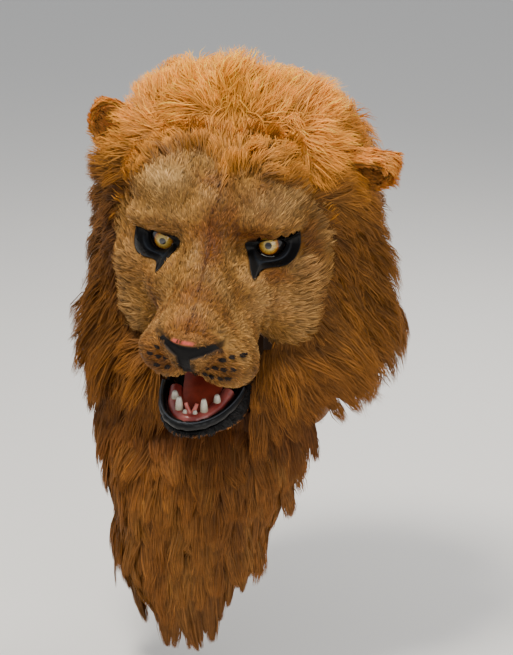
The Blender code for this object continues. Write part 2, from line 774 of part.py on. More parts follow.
def jaw_rail(angle, inset, lift):
    """Points raised square off the jaw's edge, with the edge's run and the way that they were raised."""
    angle = np.asarray(angle, float)
    here = jaw_edge(angle, inset)
    run = jaw_edge(angle + RAIL_STEP, inset) - jaw_edge(angle - RAIL_STEP, inset)
    run = run / np.linalg.norm(run, axis=-1, keepdims=True)
    axis = np.array([0, 0, 1.0]) - run[..., 2:] * run
    axis = axis / np.linalg.norm(axis, axis=-1, keepdims=True)
    return here + axis * lift, run, axis


def build_jaw(material, collection):
    """The short-furred lower jaw: a scoop from the lip down and back to the throat."""
    turn = np.linspace(-1, 1, JAW_STEPS + 1)
    angle = math.pi / 2 * ((1 - JAW_CROWDING) * turn + JAW_CROWDING * np.sin(math.pi / 2 * turn))
    edge = jaw_edge(angle)
    chin = edge * np.array([CHIN_SPREAD, 1, 1])
    chin[:, 1] -= CHIN_FORWARD
    chin[:, 2] = CHIN_Z - CHIN_FORWARD * np.cos(angle)
    under = chin * np.array([UNDER_SPREAD, 1, 1])
    under[:, 1] = JAW_BACK_Y - UNDER_REACH * np.cos(angle)
    under[:, 2] = CHIN_Z - UNDER_DROP
    root = under * np.array([ROOT_SPREAD, 1, 1])
    root[:, 1] = hood_front(root[:, 0], root[:, 2]) - 2 * GAP
    t = np.linspace(0, 1, JAW_ROWS)[:, None, None]
    grid = (1 - t) ** 3 * edge + 3 * t * (1 - t) ** 2 * chin + 3 * t**2 * (1 - t) * under + t**3 * root
    jaw = new_object("jaw", sheet_mesh("jaw", grid, JAW_HEART), material, collection)
    add_wall(jaw, JAW_WALL, -1)
    return jaw


def tube_along(name, points, radius, resolution, material, collection):
    """A closed tube along a chain of points."""
    curve = bpy.data.curves.new(name, "CURVE")
    curve.dimensions = "3D"
    curve.bevel_depth = radius
    curve.bevel_resolution = resolution
    curve.use_fill_caps = True
    spline = curve.splines.new("POLY")
    spline.points.add(len(points) - 1)
    for place, point in zip(spline.points, points):
        place.co = (*point, 1.0)
    item = bpy.data.objects.new(name, curve)
    curve.materials.append(material)
    collection.objects.link(item)
    return item


# Mane and bib

def hair_point(turn, level):
    """Points of the hair mass's outer side."""
    return wrap_point(HAIR_RINGS, HAIR_TOP_Z, HAIR_ROUNDING, HAIR_DOME, turn, level)


def ear_press(points, extra=0.0):
    """How far the hair is pressed flat by an ear's root: 0 free, 1 flat."""
    press = np.zeros(points.shape[:-1])
    for ear in EARS:
        away = np.linalg.norm(points - np.array(ear.base), axis=-1)
        press = np.maximum(press, np.clip((EAR_PRESS_REACH + extra - away) / EAR_PRESS_FADE, 0, 1))
    return press * press * (3 - 2 * press)


def mane_walls(turn, level):
    """Inner and outer points of the mane over a grid of turns and levels."""
    back = hood_point(turn, level)
    normal = grid_normals(back)
    outward = np.sum(normal * (back - np.array(HOOD_HEART)), axis=-1, keepdims=True)
    inner = back + normal * np.sign(outward) * HAIR_STANDOFF
    full = hair_point(turn, level)
    press = ear_press(full)[..., None]
    outer = full * (1 - press) + (inner + normal * np.sign(outward) * PRESSED_HAIR) * press
    return outer, inner


def grow_locks(mesh, is_outer, lean, length):
    """Draws each outer cell out into a pointed lock that leans with the fur."""
    work = bmesh.new()
    work.from_mesh(mesh)
    cells = [face for face in work.faces if is_outer(face)]
    leans = [lean(face.calc_center_median()) * length(face.calc_center_median()) for face in cells]
    grown = bmesh.ops.extrude_discrete_faces(work, faces=cells)["faces"]
    for face, way in zip(grown, leans):
        centre = face.calc_center_median()
        for vertex in face.verts:
            vertex.co = centre + (vertex.co - centre) * LOCK_TAPER + way * LOCK_BELLY
    tips = bmesh.ops.poke(work, faces=grown)["verts"]
    for tip, way in zip(tips, leans):
        tip.co += way * (1 - LOCK_BELLY)
    work.to_mesh(mesh)
    work.free()


def mane_lean(place):
    """Way the mane's locks point: away from the brow, and down more the lower they grow."""
    away = (place - FLOW_SOURCE).normalized()
    fall = min(1.0, max(0.0, -place.z / FLOW_FALL))
    return (away + Vector((0, 0, -1)) * (FLOW_DROOP_TOP + FLOW_DROOP_GAIN * fall)).normalized()


def build_mane_panel(name, turn, level, material, collection, ring=False, capped=False, fronted=False):
    """One panel of the mane over a grid of turns and levels; fronted ones stand forward by the face."""
    outer, inner = mane_walls(turn, level)
    if fronted:
        share = np.linspace(0, 1, turn.shape[1])[None, :, None]
        ease = np.clip(share / FRONT_EDGE_SHARE, 0, 1)
        ease = ease * ease * (3 - 2 * ease)
        edge = inner + np.array([0, -FRONT_EDGE_HAIR, 0])
        outer = edge * (1 - ease) + outer * ease
    mesh = wall_mesh(name, outer, inner, ring, capped)
    count = outer.shape[0] * outer.shape[1]
    middle = (outer + inner).reshape(-1, 3)[:count] * 0.5

    def is_outer(face):
        return all(vertex.index < count for vertex in face.verts) and len(face.verts) == 4

    def length(place):
        nearest = np.min(np.linalg.norm(middle - np.array(place), axis=1))
        free = 1 - float(ear_press(np.array(place), EAR_BARE_REACH))
        depth = min(1.0, nearest / FULL_HAIR_DEPTH)
        return LOCK_LENGTH * free * (LOCK_SHORTEST + (1 - LOCK_SHORTEST) * depth)

    grow_locks(mesh, is_outer, mane_lean, length)
    return new_object(name, mesh, material, collection)


def rim_turn(level):
    """Turn at which the face's opening begins, for levels beside the face."""
    z = HOOD_RINGS[0].z + (DOME_BASE_Z - HOOD_RINGS[0].z) * np.clip(level, 0, 1)
    rise = np.clip(level - 1, 0, 1) * math.pi / 2
    z = z + (HOOD_TOP_Z - DOME_BASE_Z) * np.sin(rise)
    side = RIM[RIM_CORNER:]
    rim_x = np.interp(-z, [-p.z for p in side], [p.x for p in side]) + RIM_CLEARANCE
    beside_jaw = rim_x + (JAW_HALF_WIDTH + RIM_CLEARANCE - rim_x) * JAW_SIDE_SHARE
    rim_x = np.where(z < RIM[-1].z, beside_jaw, rim_x)
    half_width = smooth_column(HOOD_RINGS, "half_width", np.minimum(z, DOME_BASE_Z)) * np.cos(rise)
    return np.arcsin(np.clip(rim_x / half_width, 0, 1) ** (HOOD_ROUNDING / 2))


def crown_edge(turn):
    """Level of the crown panel's front edge for each turn."""
    top = RIM[:RIM_CORNER + 1]
    heights = np.array([point.z + RIM_CLEARANCE - DOME_BASE_Z for point in top])
    rise = np.arcsin(heights / (HOOD_TOP_Z - DOME_BASE_Z))
    half_width = HOOD_RINGS[-1].half_width * np.cos(rise)
    reach = np.clip(np.array([p.x for p in top]) / half_width, 0, 1)
    turns = np.arcsin(reach ** (HOOD_ROUNDING / 2))
    levels = 1 + rise / (math.pi / 2)
    lowest = MANE_TOP_LEVEL + CROWN_EDGE_CLEARANCE
    edge = np.interp(np.abs(turn), [*turns, turns[-1] + CROWN_EDGE_RUN], [*levels, lowest])
    return np.maximum(edge, lowest)


def build_mane(material, collection):
    """The four panels of the mane."""
    share = np.linspace(0, 1, SIDE_COLUMNS)[None, :]
    for name, side, hem in (("mane_left", -1, LEFT_HEM_LEVEL), ("mane_right", 1, RIGHT_HEM_LEVEL)):
        climb = np.linspace(0, 1, SIDE_ROWS)[:, None]
        low = FRONT_HEM_LEVEL + (hem - FRONT_HEM_LEVEL) * share
        level = low + (MANE_TOP_LEVEL - low) * climb
        front = rim_turn(level[:, :1])
        turn = front + (BACK_TURN - front) * share
        build_mane_panel(name, side * turn, level, material, collection, fronted=True)
    rows = np.linspace(BACK_HEM_LEVEL, MANE_TOP_LEVEL, BACK_ROWS)[:, None]
    start = BACK_TURN + PANEL_GAP_TURN
    back = np.linspace(start, 2 * math.pi - start, BACK_COLUMNS)[None, :]
    back_turn, back_level = np.broadcast_arrays(back, rows)
    build_mane_panel("mane_back", back_turn, back_level, material, collection)
    around = np.linspace(-math.pi, math.pi, CROWN_COLUMNS, endpoint=False)[None, :]
    climb = np.linspace(0, 1, CROWN_ROWS)[:, None]
    low = crown_edge(around)
    crown_level = low + (CROWN_TOP_LEVEL - low) * climb
    crown_turn = np.broadcast_to(around, crown_level.shape)
    build_mane_panel("mane_crown", crown_turn, crown_level, material, collection, ring=True, capped=True)


def bib_grid(columns, rows, depth):
    """Points of the bib: columns from left to right, rows from throat to hem, depth metres forward."""
    s = np.linspace(-1, 1, columns + 1)[None, :]
    z = np.linspace(BIB_LINES[0].z, BIB_LINES[-1].z, rows + 1)[:, None]
    left = smooth_column(BIB_LINES, "left", z)
    right = smooth_column(BIB_LINES, "right", z)
    middle = smooth_column(BIB_LINES, "y_middle", z)
    side = smooth_column(BIB_LINES, "y_side", z)
    droop = smooth_column(BIB_LINES, "droop", z)
    x = (left + right) / 2 + s * (right - left) / 2
    y = middle + (side - middle) * np.abs(s) ** BIB_ROUNDING - depth
    return np.stack(np.broadcast_arrays(x, y, z - droop * s**2), axis=-1)


def build_bib(material, collection):
    """The bib: a cloth backing with long locks that hang over the chest."""
    inner = bib_grid(BIB_COLUMNS, BIB_ROWS, 0.0)
    outer = bib_grid(BIB_COLUMNS, BIB_ROWS, BIB_WALL)
    mesh = wall_mesh("bib", outer, inner)
    count = outer.shape[0] * outer.shape[1]

    def is_outer(face):
        return all(vertex.index < count for vertex in face.verts)

    def lean(place):
        return Vector(((place.x - BIB_PARTING_X) * BIB_SPREAD, -BIB_FORWARD, -1.0)).normalized()

    grow_locks(mesh, is_outer, lean, lambda place: BIB_LOCK_LENGTH)
    return new_object("bib", mesh, material, collection)


# Ears

def build_ear(ear, material, collection, cutters):
    """A cupped ear whose root sits on the pressed hair."""
    base, tip, look = np.array(ear.base), np.array(ear.tip), np.array(ear.look)
    rise = tip - base
    length = np.linalg.norm(rise)
    rise = rise / length
    look = look - (look @ rise) * rise
    look = look / np.linalg.norm(look)
    side = np.cross(rise, look)
    up = np.linspace(EAR_ROOT, 1, EAR_STEPS)[:, None]
    across = np.linspace(-1, 1, EAR_STEPS)[None, :]
    narrowing = 1 + EAR_TIP_HALF - np.clip(up, 0, 1) ** EAR_TAPER
    half = ear.wide / 2 * np.sqrt(np.clip(narrowing, EAR_TIP_HALF, 1))
    place = (
        base + up[..., None] * rise * length
        + (across * half)[..., None] * side
        + (ear.deep * across**2 * (1 - EAR_FLATTENING * up))[..., None] * look
    )
    name = f"ear_{ear.side}"
    mesh = sheet_mesh(name, place, base + look)
    item = new_object(name, mesh, material, collection)
    add_wall(item, EAR_WALL, -1)
    way = 1 if base[0] > 0 else -1
    turn = way * np.radians(np.linspace(SEAT_FROM, SEAT_TO, SEAT_COLUMNS))[None, :]
    level = np.linspace(SEAT_LOW, SEAT_HIGH, SEAT_ROWS)[:, None]
    outer, inner = mane_walls(*np.broadcast_arrays(turn, level))
    normal = grid_normals(outer)
    outward = np.sign(np.sum(normal * (outer - np.array(HOOD_HEART)), axis=-1, keepdims=True))
    heart = np.array(HOOD_HEART)
    seat = wall_mesh(f"seat_{ear.side}", outer + normal * outward * ear.seat, heart + (inner - heart) / 2)
    cutter = bpy.data.objects.new(f"seat_{ear.side}", seat)
    cutter.hide_render = True
    cutter.display_type = "WIRE"
    cutters.objects.link(cutter)
    add_cut(item, cutter)
    return item


# Mouth parts

def build_lip(material, collection):
    """The black rubber lip rolled over the jaw's edge."""
    angle = np.linspace(-LIP_TURN, LIP_TURN, LIP_STEPS)
    path = jaw_rail(angle, LIP_INSET, LIP_RADIUS + LIP_SEAT)[0]
    return tube_along("lower_lip", path, LIP_RADIUS, TUBE_RESOLUTION, material, collection)


def build_gum(material, collection):
    """The pink gum inside the lower lip."""
    angle = np.linspace(-GUM_TURN, GUM_TURN, GUM_STEPS)
    path = jaw_rail(angle, GUM_INSET, GUM_LIFT)[0]
    return tube_along("lower_gum", path, GUM_RADIUS, TUBE_RESOLUTION, material, collection)


def build_teeth(material, collection):
    """Three teeth on each side, standing on the gum."""
    for tooth in TEETH:
        for side, word in ((-1, "left"), (1, "right")):
            angle = side * math.radians(tooth.along)
            foot, run, axis = jaw_rail(angle, GUM_INSET, GUM_LIFT + GUM_RADIUS + TOOTH_SEAT)
            side_way = np.cross(axis, run)
            rows = np.linspace(0, 1, TOOTH_ROWS)[:, None, None]
            turn = np.linspace(0, 2 * math.pi, TOOTH_SIDES, endpoint=False)[None, :, None]
            taper = np.clip(rows - TOOTH_NECK, 0, 1) ** TOOTH_TAPER * TOOTH_POINT
            radius = tooth.width / 2 * np.sqrt(1 - taper)
            grid = foot + radius * (np.cos(turn) * run + np.sin(turn) * side_way)
            stand = axis * (1 - TOOTH_UPRIGHT) + np.array([0, 0, TOOTH_UPRIGHT])
            grid = grid + rows * tooth.height * stand / np.linalg.norm(stand)
            faces = grid_faces(TOOTH_ROWS, TOOTH_SIDES, True)
            last = (TOOTH_ROWS - 1) * TOOTH_SIDES
            faces += [tuple(range(TOOTH_SIDES)), tuple(range(last, last + TOOTH_SIDES))]
            name = f"{tooth.name}_{word}"
            mesh = bpy.data.meshes.new(name)
            mesh.from_pydata(grid.reshape(-1, 3).tolist(), [], faces)
            face_out(mesh)
            new_object(name, mesh, material, collection)


def build_throat(material, collection):
    """The brick-red panel that closes the mouth behind the teeth."""
    across = np.linspace(-1, 1, THROAT_STEPS)[None, :]
    down = np.linspace(0, 1, THROAT_STEPS)[:, None]
    x = across * (THROAT_HALF_WIDTH - THROAT_NARROWING * down)
    y = THROAT_TOP_Y - THROAT_SLOPE * down**THROAT_BEND + THROAT_HOLLOW * across**2
    z = THROAT_TOP_Z + (THROAT_LOW_Z - THROAT_TOP_Z) * down
    grid = np.stack(np.broadcast_arrays(x, y, z), axis=-1)
    throat = new_object("throat_panel", sheet_mesh("throat_panel", grid, JAW_HEART), material, collection)
    add_wall(throat, LINER_WALL, -1)
    return throat


def main():
    """Builds every piece."""
    clear_scene()
    pieces = new_collection("lion_mask")
    cutters = new_collection("cutters")
    build_hood(new_material("hood_cloth", (0.10, 0.06, 0.03), 0.9), pieces, cutters)
    build_face(new_material("short_fur", (0.45, 0.28, 0.13), 0.85), pieces, cutters)
    lid = new_material("lid_rubber", (0.02, 0.02, 0.02), 0.35)
    eye = new_material("eye_gloss", (0.55, 0.42, 0.12), 0.08)
    for side, word in ((-1, "left"), (1, "right")):
        build_eyelid(side, word, lid, pieces)
        build_eye(side, word, eye, pieces)
    build_nose(new_material("nose_rubber", (0.10, 0.05, 0.05), 0.4), pieces)
    build_jaw(new_material("jaw_fur", (0.30, 0.16, 0.06), 0.85), pieces)
    build_lip(new_material("lip_rubber", (0.02, 0.018, 0.018), 0.25), pieces)
    build_gum(new_material("gum_rubber", (0.50, 0.16, 0.15), 0.35), pieces)
    build_teeth(new_material("ivory", (0.75, 0.72, 0.62), 0.25), pieces)
    build_throat(new_material("throat_cloth", (0.30, 0.07, 0.04), 0.6), pieces)
    mane = new_material("mane_fur", (0.36, 0.19, 0.08), 0.9)
    build_mane(mane, pieces)
    build_bib(new_material("bib_fur", (0.22, 0.12, 0.05), 0.9), pieces)
    ear_fur = new_material("ear_fur", (0.45, 0.26, 0.11), 0.9)
    for ear in EARS:
        build_ear(ear, ear_fur, pieces, cutters)


main()
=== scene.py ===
"""Looks of the lion mask: loose fur, eyes, nose, mouth and the studio they are shown in.

The mask faces -Y, +X is the viewer's right, +Z is up, in metres.
Every surface is a grid of points worked out from two parameters, and every hair is a tapered ribbon
grown from such a surface.
"""

from __future__ import annotations

import logging
import math
from dataclasses import dataclass, field, replace
from enum import Enum
from typing import Callable, Sequence

import bpy
import numpy as np
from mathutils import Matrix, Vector


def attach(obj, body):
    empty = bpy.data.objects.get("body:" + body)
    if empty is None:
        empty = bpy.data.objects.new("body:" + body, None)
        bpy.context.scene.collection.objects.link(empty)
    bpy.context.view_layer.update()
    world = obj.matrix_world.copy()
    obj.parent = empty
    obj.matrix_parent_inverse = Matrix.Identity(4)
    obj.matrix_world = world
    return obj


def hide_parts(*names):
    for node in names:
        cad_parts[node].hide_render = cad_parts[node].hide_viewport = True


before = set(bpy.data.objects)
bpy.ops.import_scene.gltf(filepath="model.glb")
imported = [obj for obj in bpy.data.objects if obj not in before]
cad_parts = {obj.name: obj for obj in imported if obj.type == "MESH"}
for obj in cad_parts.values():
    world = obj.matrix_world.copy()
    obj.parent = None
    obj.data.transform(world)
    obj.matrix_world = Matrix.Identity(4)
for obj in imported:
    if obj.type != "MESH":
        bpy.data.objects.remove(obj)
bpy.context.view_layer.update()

LOG = logging.getLogger("lion_mask")
Array = np.ndarray
PointValue = Callable[[Array], Array]
UP = np.array([0.0, 0.0, 1.0])


# Small mathematics


def unit(vectors: Array) -> Array:
    """Vectors scaled to length one."""
    return vectors / (np.linalg.norm(vectors, axis=-1, keepdims=True) + 1e-12)


def axes(points: Array) -> tuple[Array, Array, Array]:
    """The x, y and z of points, each as an array of its own."""
    return points[..., 0], points[..., 1], points[..., 2]


def dot(first: Array, second: Array) -> Array:
    """Row by row dot product, kept as a column."""
    return np.sum(first * second, axis=-1, keepdims=True)


def ease(share: Array) -> Array:
    """Smooth step of a share clipped to 0..1."""
    share = np.clip(share, 0.0, 1.0)
    return share * share * (3.0 - 2.0 * share)


def ramp(value: Array, start: float, run: float) -> Array:
    """Smooth step from 0 at the start to 1 a run further on; a negative run leads downwards."""
    return ease((value - start) / run)


def bell(value: Array, middle: float | Array, width: float) -> Array:
    """Bell curve: 1 at the middle, 1 / e a width away from it."""
    return np.exp(-(((value - middle) / width) ** 2))


def signed_power(value: Array, power: float) -> Array:
    """A power that keeps the sign of its base."""
    return np.sign(value) * np.abs(value) ** power


def linear(red: float, green: float, blue: float) -> Array:
    """A colour named by its screen values 0..255, as linear light."""
    return (np.array([red, green, blue]) / 255.0) ** 2.2


def resample(points: Array, count: int) -> Array:
    """Points evenly spread along a chain of points."""
    points = np.asarray(points, float)
    steps = np.linalg.norm(np.diff(points, axis=0), axis=1)
    length = np.concatenate([[0.0], np.cumsum(steps)])
    at = np.linspace(0.0, length[-1], count)
    return np.stack([np.interp(at, length, points[:, k]) for k in range(points.shape[1])], axis=1)


def rounded(points: Array, passes: int = 2) -> Array:
    """A chain of points with its corners cut back, a quarter of each step at a time."""
    points = np.asarray(points, float)
    for _ in range(passes):
        near = points[:-1] * 0.75 + points[1:] * 0.25
        far = points[:-1] * 0.25 + points[1:] * 0.75
        middle = np.stack([near, far], axis=1).reshape(-1, points.shape[1])
        points = np.concatenate([points[:1], middle, points[-1:]])
    return points


def curve_value(keys: Sequence[float], values: Sequence[float], at: Array) -> Array:
    """A smooth curve through (key, value) pairs, read at the places `at`."""
    keys, values = np.asarray(keys, float), np.asarray(values, float)
    if keys[0] > keys[-1]:
        keys, values = keys[::-1], values[::-1]
    slopes = np.gradient(values, keys)
    at = np.clip(at, keys.min(), keys.max())
    cell = np.clip(np.searchsorted(keys, at) - 1, 0, len(keys) - 2)
    width = keys[cell + 1] - keys[cell]
    t = (at - keys[cell]) / width
    return (
        (2 * t**3 - 3 * t**2 + 1) * values[cell]
        + (t**3 - 2 * t**2 + t) * width * slopes[cell]
        + (3 * t**2 - 2 * t**3) * values[cell + 1]
        + (t**3 - t**2) * width * slopes[cell + 1]
    )


def lattice(points: Array, size: float, seed: int) -> Array:
    """Smooth noise -1..1: random values on a cubic lattice of that cell size, eased between corners."""
    scaled = points / size + 57.3 + seed * 11.7
    base = np.floor(scaled)
    share = ease(scaled - base)
    total = np.zeros(points.shape[:-1])
    for corner in range(8):
        step = np.array([corner & 1, (corner >> 1) & 1, (corner >> 2) & 1])
        key = (base + step) @ np.array([12.9898, 78.233, 37.719]) + seed * 4.13
        value = np.modf(np.sin(key) * 43758.5453)[0]
        weight = np.prod(np.where(step == 1, share, 1.0 - share), axis=-1)
        total += value * weight
    return total


def swirl(points: Array, size: float, seed: int) -> Array:
    """A smooth random vector at each point, made of three noises."""
    return np.stack([lattice(points, size, seed + 2 * k) for k in range(3)], axis=-1)


def inside_outline(points: Array, outline: Array) -> Array:
    """Whether flat points lie in a closed outline, by counting the sides crossed to the right."""
    start, end = outline, np.roll(outline, -1, axis=0)
    x, y = points[..., None, 0], points[..., None, 1]
    spans = (start[:, 1] > y) != (end[:, 1] > y)
    rise = np.where(end[:, 1] == start[:, 1], 1e-12, end[:, 1] - start[:, 1])
    cross = start[:, 0] + (y - start[:, 1]) / rise * (end[:, 0] - start[:, 0])
    return np.sum(spans & (x < cross), axis=-1) % 2 == 1


def outline_distance(points: Array, outline: Array) -> Array:
    """Distance of flat points from a closed outline."""
    run = np.roll(outline, -1, axis=0) - outline
    away = points[..., None, :] - outline
    share = np.clip(np.sum(away * run, axis=-1) / (np.sum(run * run, axis=-1) + 1e-12), 0.0, 1.0)
    return np.min(np.linalg.norm(away - share[..., None] * run, axis=-1), axis=-1)


# Finishes


class Grain(Enum):
    """How a finish's surface is broken up."""

    SMOOTH = "smooth"
    RUBBER = "rubber"
    CLOTH = "cloth"
    HAIR = "hair"


@dataclass(frozen=True)
class Finish:
    """A material, whose colour comes from the tint attribute of each piece.

    Attributes:
        name: the material's name.
        roughness: 0 mirror, 1 matt.
        grain: how the surface is broken up.
        coat: strength of a clear coat.
        coat_roughness: roughness of that coat.
        through: share of light that passes through, for hair.
        grain_size: size of the grain in metres.
        relief: depth of the grain in metres.
        sheen: strength of the soft edge light of cloth.
        specular: strength of the mirror light.
    """

    name: str
    roughness: float
    grain: Grain
    coat: float = 0.0
    coat_roughness: float = 0.04
    through: float = 0.0
    grain_size: float = 0.004
    relief: float = 0.0002
    sheen: float = 0.0
    specular: float = 0.5

    def material(self) -> bpy.types.Material:
        """The Blender material, made once.

        Returns:
            The material with its nodes in place.
        """
        known = bpy.data.materials.get(self.name)
        if known is not None:
            return known
        material = bpy.data.materials.new(self.name)
        material.use_nodes = True
        tree = material.node_tree
        nodes, links = tree.nodes, tree.links
        shader = nodes["Principled BSDF"]
        values = {
            "Roughness": self.roughness,
            "Coat Weight": self.coat,
            "Coat Roughness": self.coat_roughness,
            "Sheen Weight": self.sheen,
            "Specular IOR Level": self.specular,
        }
        for word, value in values.items():
            shader.inputs[word].default_value = value
        place = nodes.new("ShaderNodeTexCoord")
        noise = nodes.new("ShaderNodeTexNoise")
        for word, value in (("Scale", 1.0 / self.grain_size), ("Detail", 4.0), ("Roughness", 0.6)):
            noise.inputs[word].default_value = value
        links.new(place.outputs["Object"], noise.inputs["Vector"])
        spread = nodes.new("ShaderNodeMapRange")
        for word, value in (("From Min", 0.25), ("From Max", 0.75), ("To Min", 0.78), ("To Max", 1.22)):
            spread.inputs[word].default_value = value
        links.new(noise.outputs["Fac"], spread.inputs["Value"])
        mix = nodes.new("ShaderNodeMix")
        mix.data_type = "RGBA"
        mix.blend_type = "MULTIPLY"
        mix.inputs["Factor"].default_value = 1.0
        tint = nodes.new("ShaderNodeAttribute")
        tint.attribute_name = "tint"
        links.new(tint.outputs["Color"], mix.inputs["A"])
        links.new(spread.outputs["Result"], mix.inputs["B"])
        links.new(mix.outputs["Result"], shader.inputs["Base Color"])
        if self.grain in (Grain.RUBBER, Grain.CLOTH):
            bump = nodes.new("ShaderNodeBump")
            bump.inputs["Strength"].default_value = 1.0
            bump.inputs["Distance"].default_value = self.relief
            links.new(noise.outputs["Fac"], bump.inputs["Height"])
            links.new(bump.outputs["Normal"], shader.inputs["Normal"])
        if self.through > 0:
            glow = nodes.new("ShaderNodeBsdfTranslucent")
            links.new(mix.outputs["Result"], glow.inputs["Color"])
            blend = nodes.new("ShaderNodeMixShader")
            blend.inputs["Fac"].default_value = self.through
            links.new(shader.outputs["BSDF"], blend.inputs[1])
            links.new(glow.outputs["BSDF"], blend.inputs[2])
            links.new(blend.outputs["Shader"], nodes["Material Output"].inputs["Surface"])
        return material


LONG_HAIR = Finish("long_hair", 0.55, Grain.HAIR, through=0.25, grain_size=0.012, specular=0.2)
SHORT_HAIR = Finish("short_hair", 0.62, Grain.HAIR, through=0.18, grain_size=0.009, specular=0.3)
FUR_BACKING = Finish("fur_backing", 0.95, Grain.CLOTH, grain_size=0.003, relief=0.0010, specular=0.1)
SKIN_BACKING = Finish("skin_backing", 0.90, Grain.CLOTH, grain_size=0.0022, relief=0.0006, specular=0.15)
LINING = Finish("hood_lining", 0.92, Grain.CLOTH, grain_size=0.0016, relief=0.0003, sheen=0.2, specular=0.2)
BLACK_RUBBER = Finish("black_rubber", 0.55, Grain.RUBBER, grain_size=0.004, relief=0.00025, specular=0.3)
LIP_RUBBER = Finish("lip_roll_rubber", 0.38, Grain.RUBBER, grain_size=0.009, relief=0.0004, specular=0.3)
NOSE_RUBBER = Finish("nose_leather_rubber", 0.66, Grain.RUBBER, grain_size=0.0022, relief=0.0004,
                     specular=0.2)
GUM_RUBBER = Finish("gum_rubber_wet", 0.28, Grain.RUBBER, grain_size=0.006, relief=0.0005, coat=0.3)
THROAT_RUBBER = Finish("throat_rubber", 0.45, Grain.RUBBER, grain_size=0.007, relief=0.0004)
IVORY = Finish("tooth_ivory", 0.25, Grain.SMOOTH, coat=0.4, grain_size=0.004)
EYE_GLASS = Finish("eye_glass", 0.08, Grain.SMOOTH, coat=1.0, grain_size=0.0015)


# Meshes


def build_mesh(name: str, points: Array, faces: Array, tint: Array | None) -> bpy.types.Mesh:
    """A smooth mesh from whole arrays.

    Args:
        name: the mesh's name.
        points: vertices, one row each.
        faces: corner numbers, three or four in each row.
        tint: linear colour of each vertex, or None.

    Returns:
        The mesh.
    """
    mesh = bpy.data.meshes.new(name)
    count, sides = faces.shape
    mesh.vertices.add(len(points))
    mesh.vertices.foreach_set("co", points.astype(np.float32).ravel())
    mesh.loops.add(count * sides)
    mesh.loops.foreach_set("vertex_index", faces.astype(np.int32).ravel())
    mesh.polygons.add(count)
    mesh.polygons.foreach_set("loop_start", np.arange(0, count * sides, sides, dtype=np.int32))
    mesh.update(calc_edges=True)
    mesh.validate()
    mesh.polygons.foreach_set("use_smooth", np.ones(len(mesh.polygons), bool))
    if tint is not None:
        layer = mesh.color_attributes.new("tint", "FLOAT_COLOR", "POINT")
        layer.data.foreach_set("color", np.concatenate([tint, np.ones((len(tint), 1))], axis=1).ravel())
    return mesh


def grid_quads(rows: int, columns: int, ring: bool = False) -> Array:
    """Quads of a grid of points, joined end to end if it is a ring."""
    row, column = np.meshgrid(np.arange(rows - 1), np.arange(columns if ring else columns - 1), indexing="ij")
    here = row * columns + column
    after = row * columns + (column + 1) % columns
    return np.stack([here, after, after + columns, here + columns], axis=-1).reshape(-1, 4)


def turned_outward(points: Array, quads: Array) -> Array:
    """Quads of a closed surface, reversed if the volume that they enclose comes out negative."""
    a, b, c, d = (points[quads[:, k]] for k in range(4))
    volume = np.sum(np.cross(c - a, d - b) * (a + b + c + d)) / 24
    return quads[:, ::-1] if volume < 0 else quads


def close_wall(name: str, outer: Array, inner: Array, tones: Array) -> bpy.types.Mesh:
    """A closed sheet with two sides, joined all round.

    Args:
        name: the mesh's name.
        outer: points of the outer side, rows by columns.
        inner: points of the inner side, the same.
        tones: colour of each point, the outer side's rows and then the inner side's back again.

    Returns:
        The mesh.
    """
    wall = np.concatenate([outer, inner[::-1]])
    rows, columns = wall.shape[:2]
    first, last = np.arange(rows // 2), rows - 1 - np.arange(rows // 2)
    sides = []
    for column, turn in ((0, 1), (columns - 1, -1)):
        ends = (first[:-1], first[1:], last[1:], last[:-1])
        sides.append(np.stack([end * columns + column for end in ends], axis=1)[:, ::turn])
    run = np.arange(columns - 1)
    seam = (rows - 1) * columns + run
    brim = np.stack([run + 1, run, seam, seam + 1], axis=1)
    flat = wall.reshape(-1, 3)
    faces = turned_outward(flat, np.concatenate([grid_quads(rows, columns), *sides, brim]))
    return build_mesh(name, flat, faces, tones.reshape(-1, 3))


def stack_rings(name: str, rings: Array, middles: Array, tones: Array) -> bpy.types.Mesh:
    """A closed mesh from a stack of rings, its two ends drawn shut.

    Args:
        name: the mesh's name.
        rings: points, one row for each ring.
        middles: the middle of each ring.
        tones: colour of each ring, with one more for each shut end.

    Returns:
        The mesh.
    """
    sides = rings.shape[1]
    ends = np.repeat(middles[[0, -1], None], sides, axis=1)
    points = np.concatenate([ends[:1], rings, ends[1:]]).reshape(-1, 3)
    quads = turned_outward(points, grid_quads(len(rings) + 2, sides, ring=True))
    return build_mesh(name, points, quads, np.repeat(tones, sides, axis=0))


def tube(name: str, path: Array, radius: Array, tones: Array, sides: int = 24) -> bpy.types.Mesh:
    """A closed round tube along a path.

    Args:
        name: the mesh's name.
        path: points of its middle.
        radius: its radius at each point.
        tones: colour at each point.
        sides: how many sides.

    Returns:
        The mesh.
    """
    tangent = unit(np.gradient(path, axis=0))
    side = unit(np.cross(tangent, UP))
    up = np.cross(side, tangent)
    turn = np.linspace(0, 2 * np.pi, sides, endpoint=False)[None, :, None]
    around = np.cos(turn) * side[:, None] + np.sin(turn) * up[:, None]
    rings = path[:, None] + radius[:, None, None] * around
    return stack_rings(name, rings, path, np.concatenate([tones[:1], tones, tones[-1:]]))


def add_object(name: str, data: bpy.types.ID) -> bpy.types.Object:
    """A new object in the scene that shows the data."""
    item = bpy.data.objects.new(name, data)
    bpy.context.scene.collection.objects.link(item)
    return item


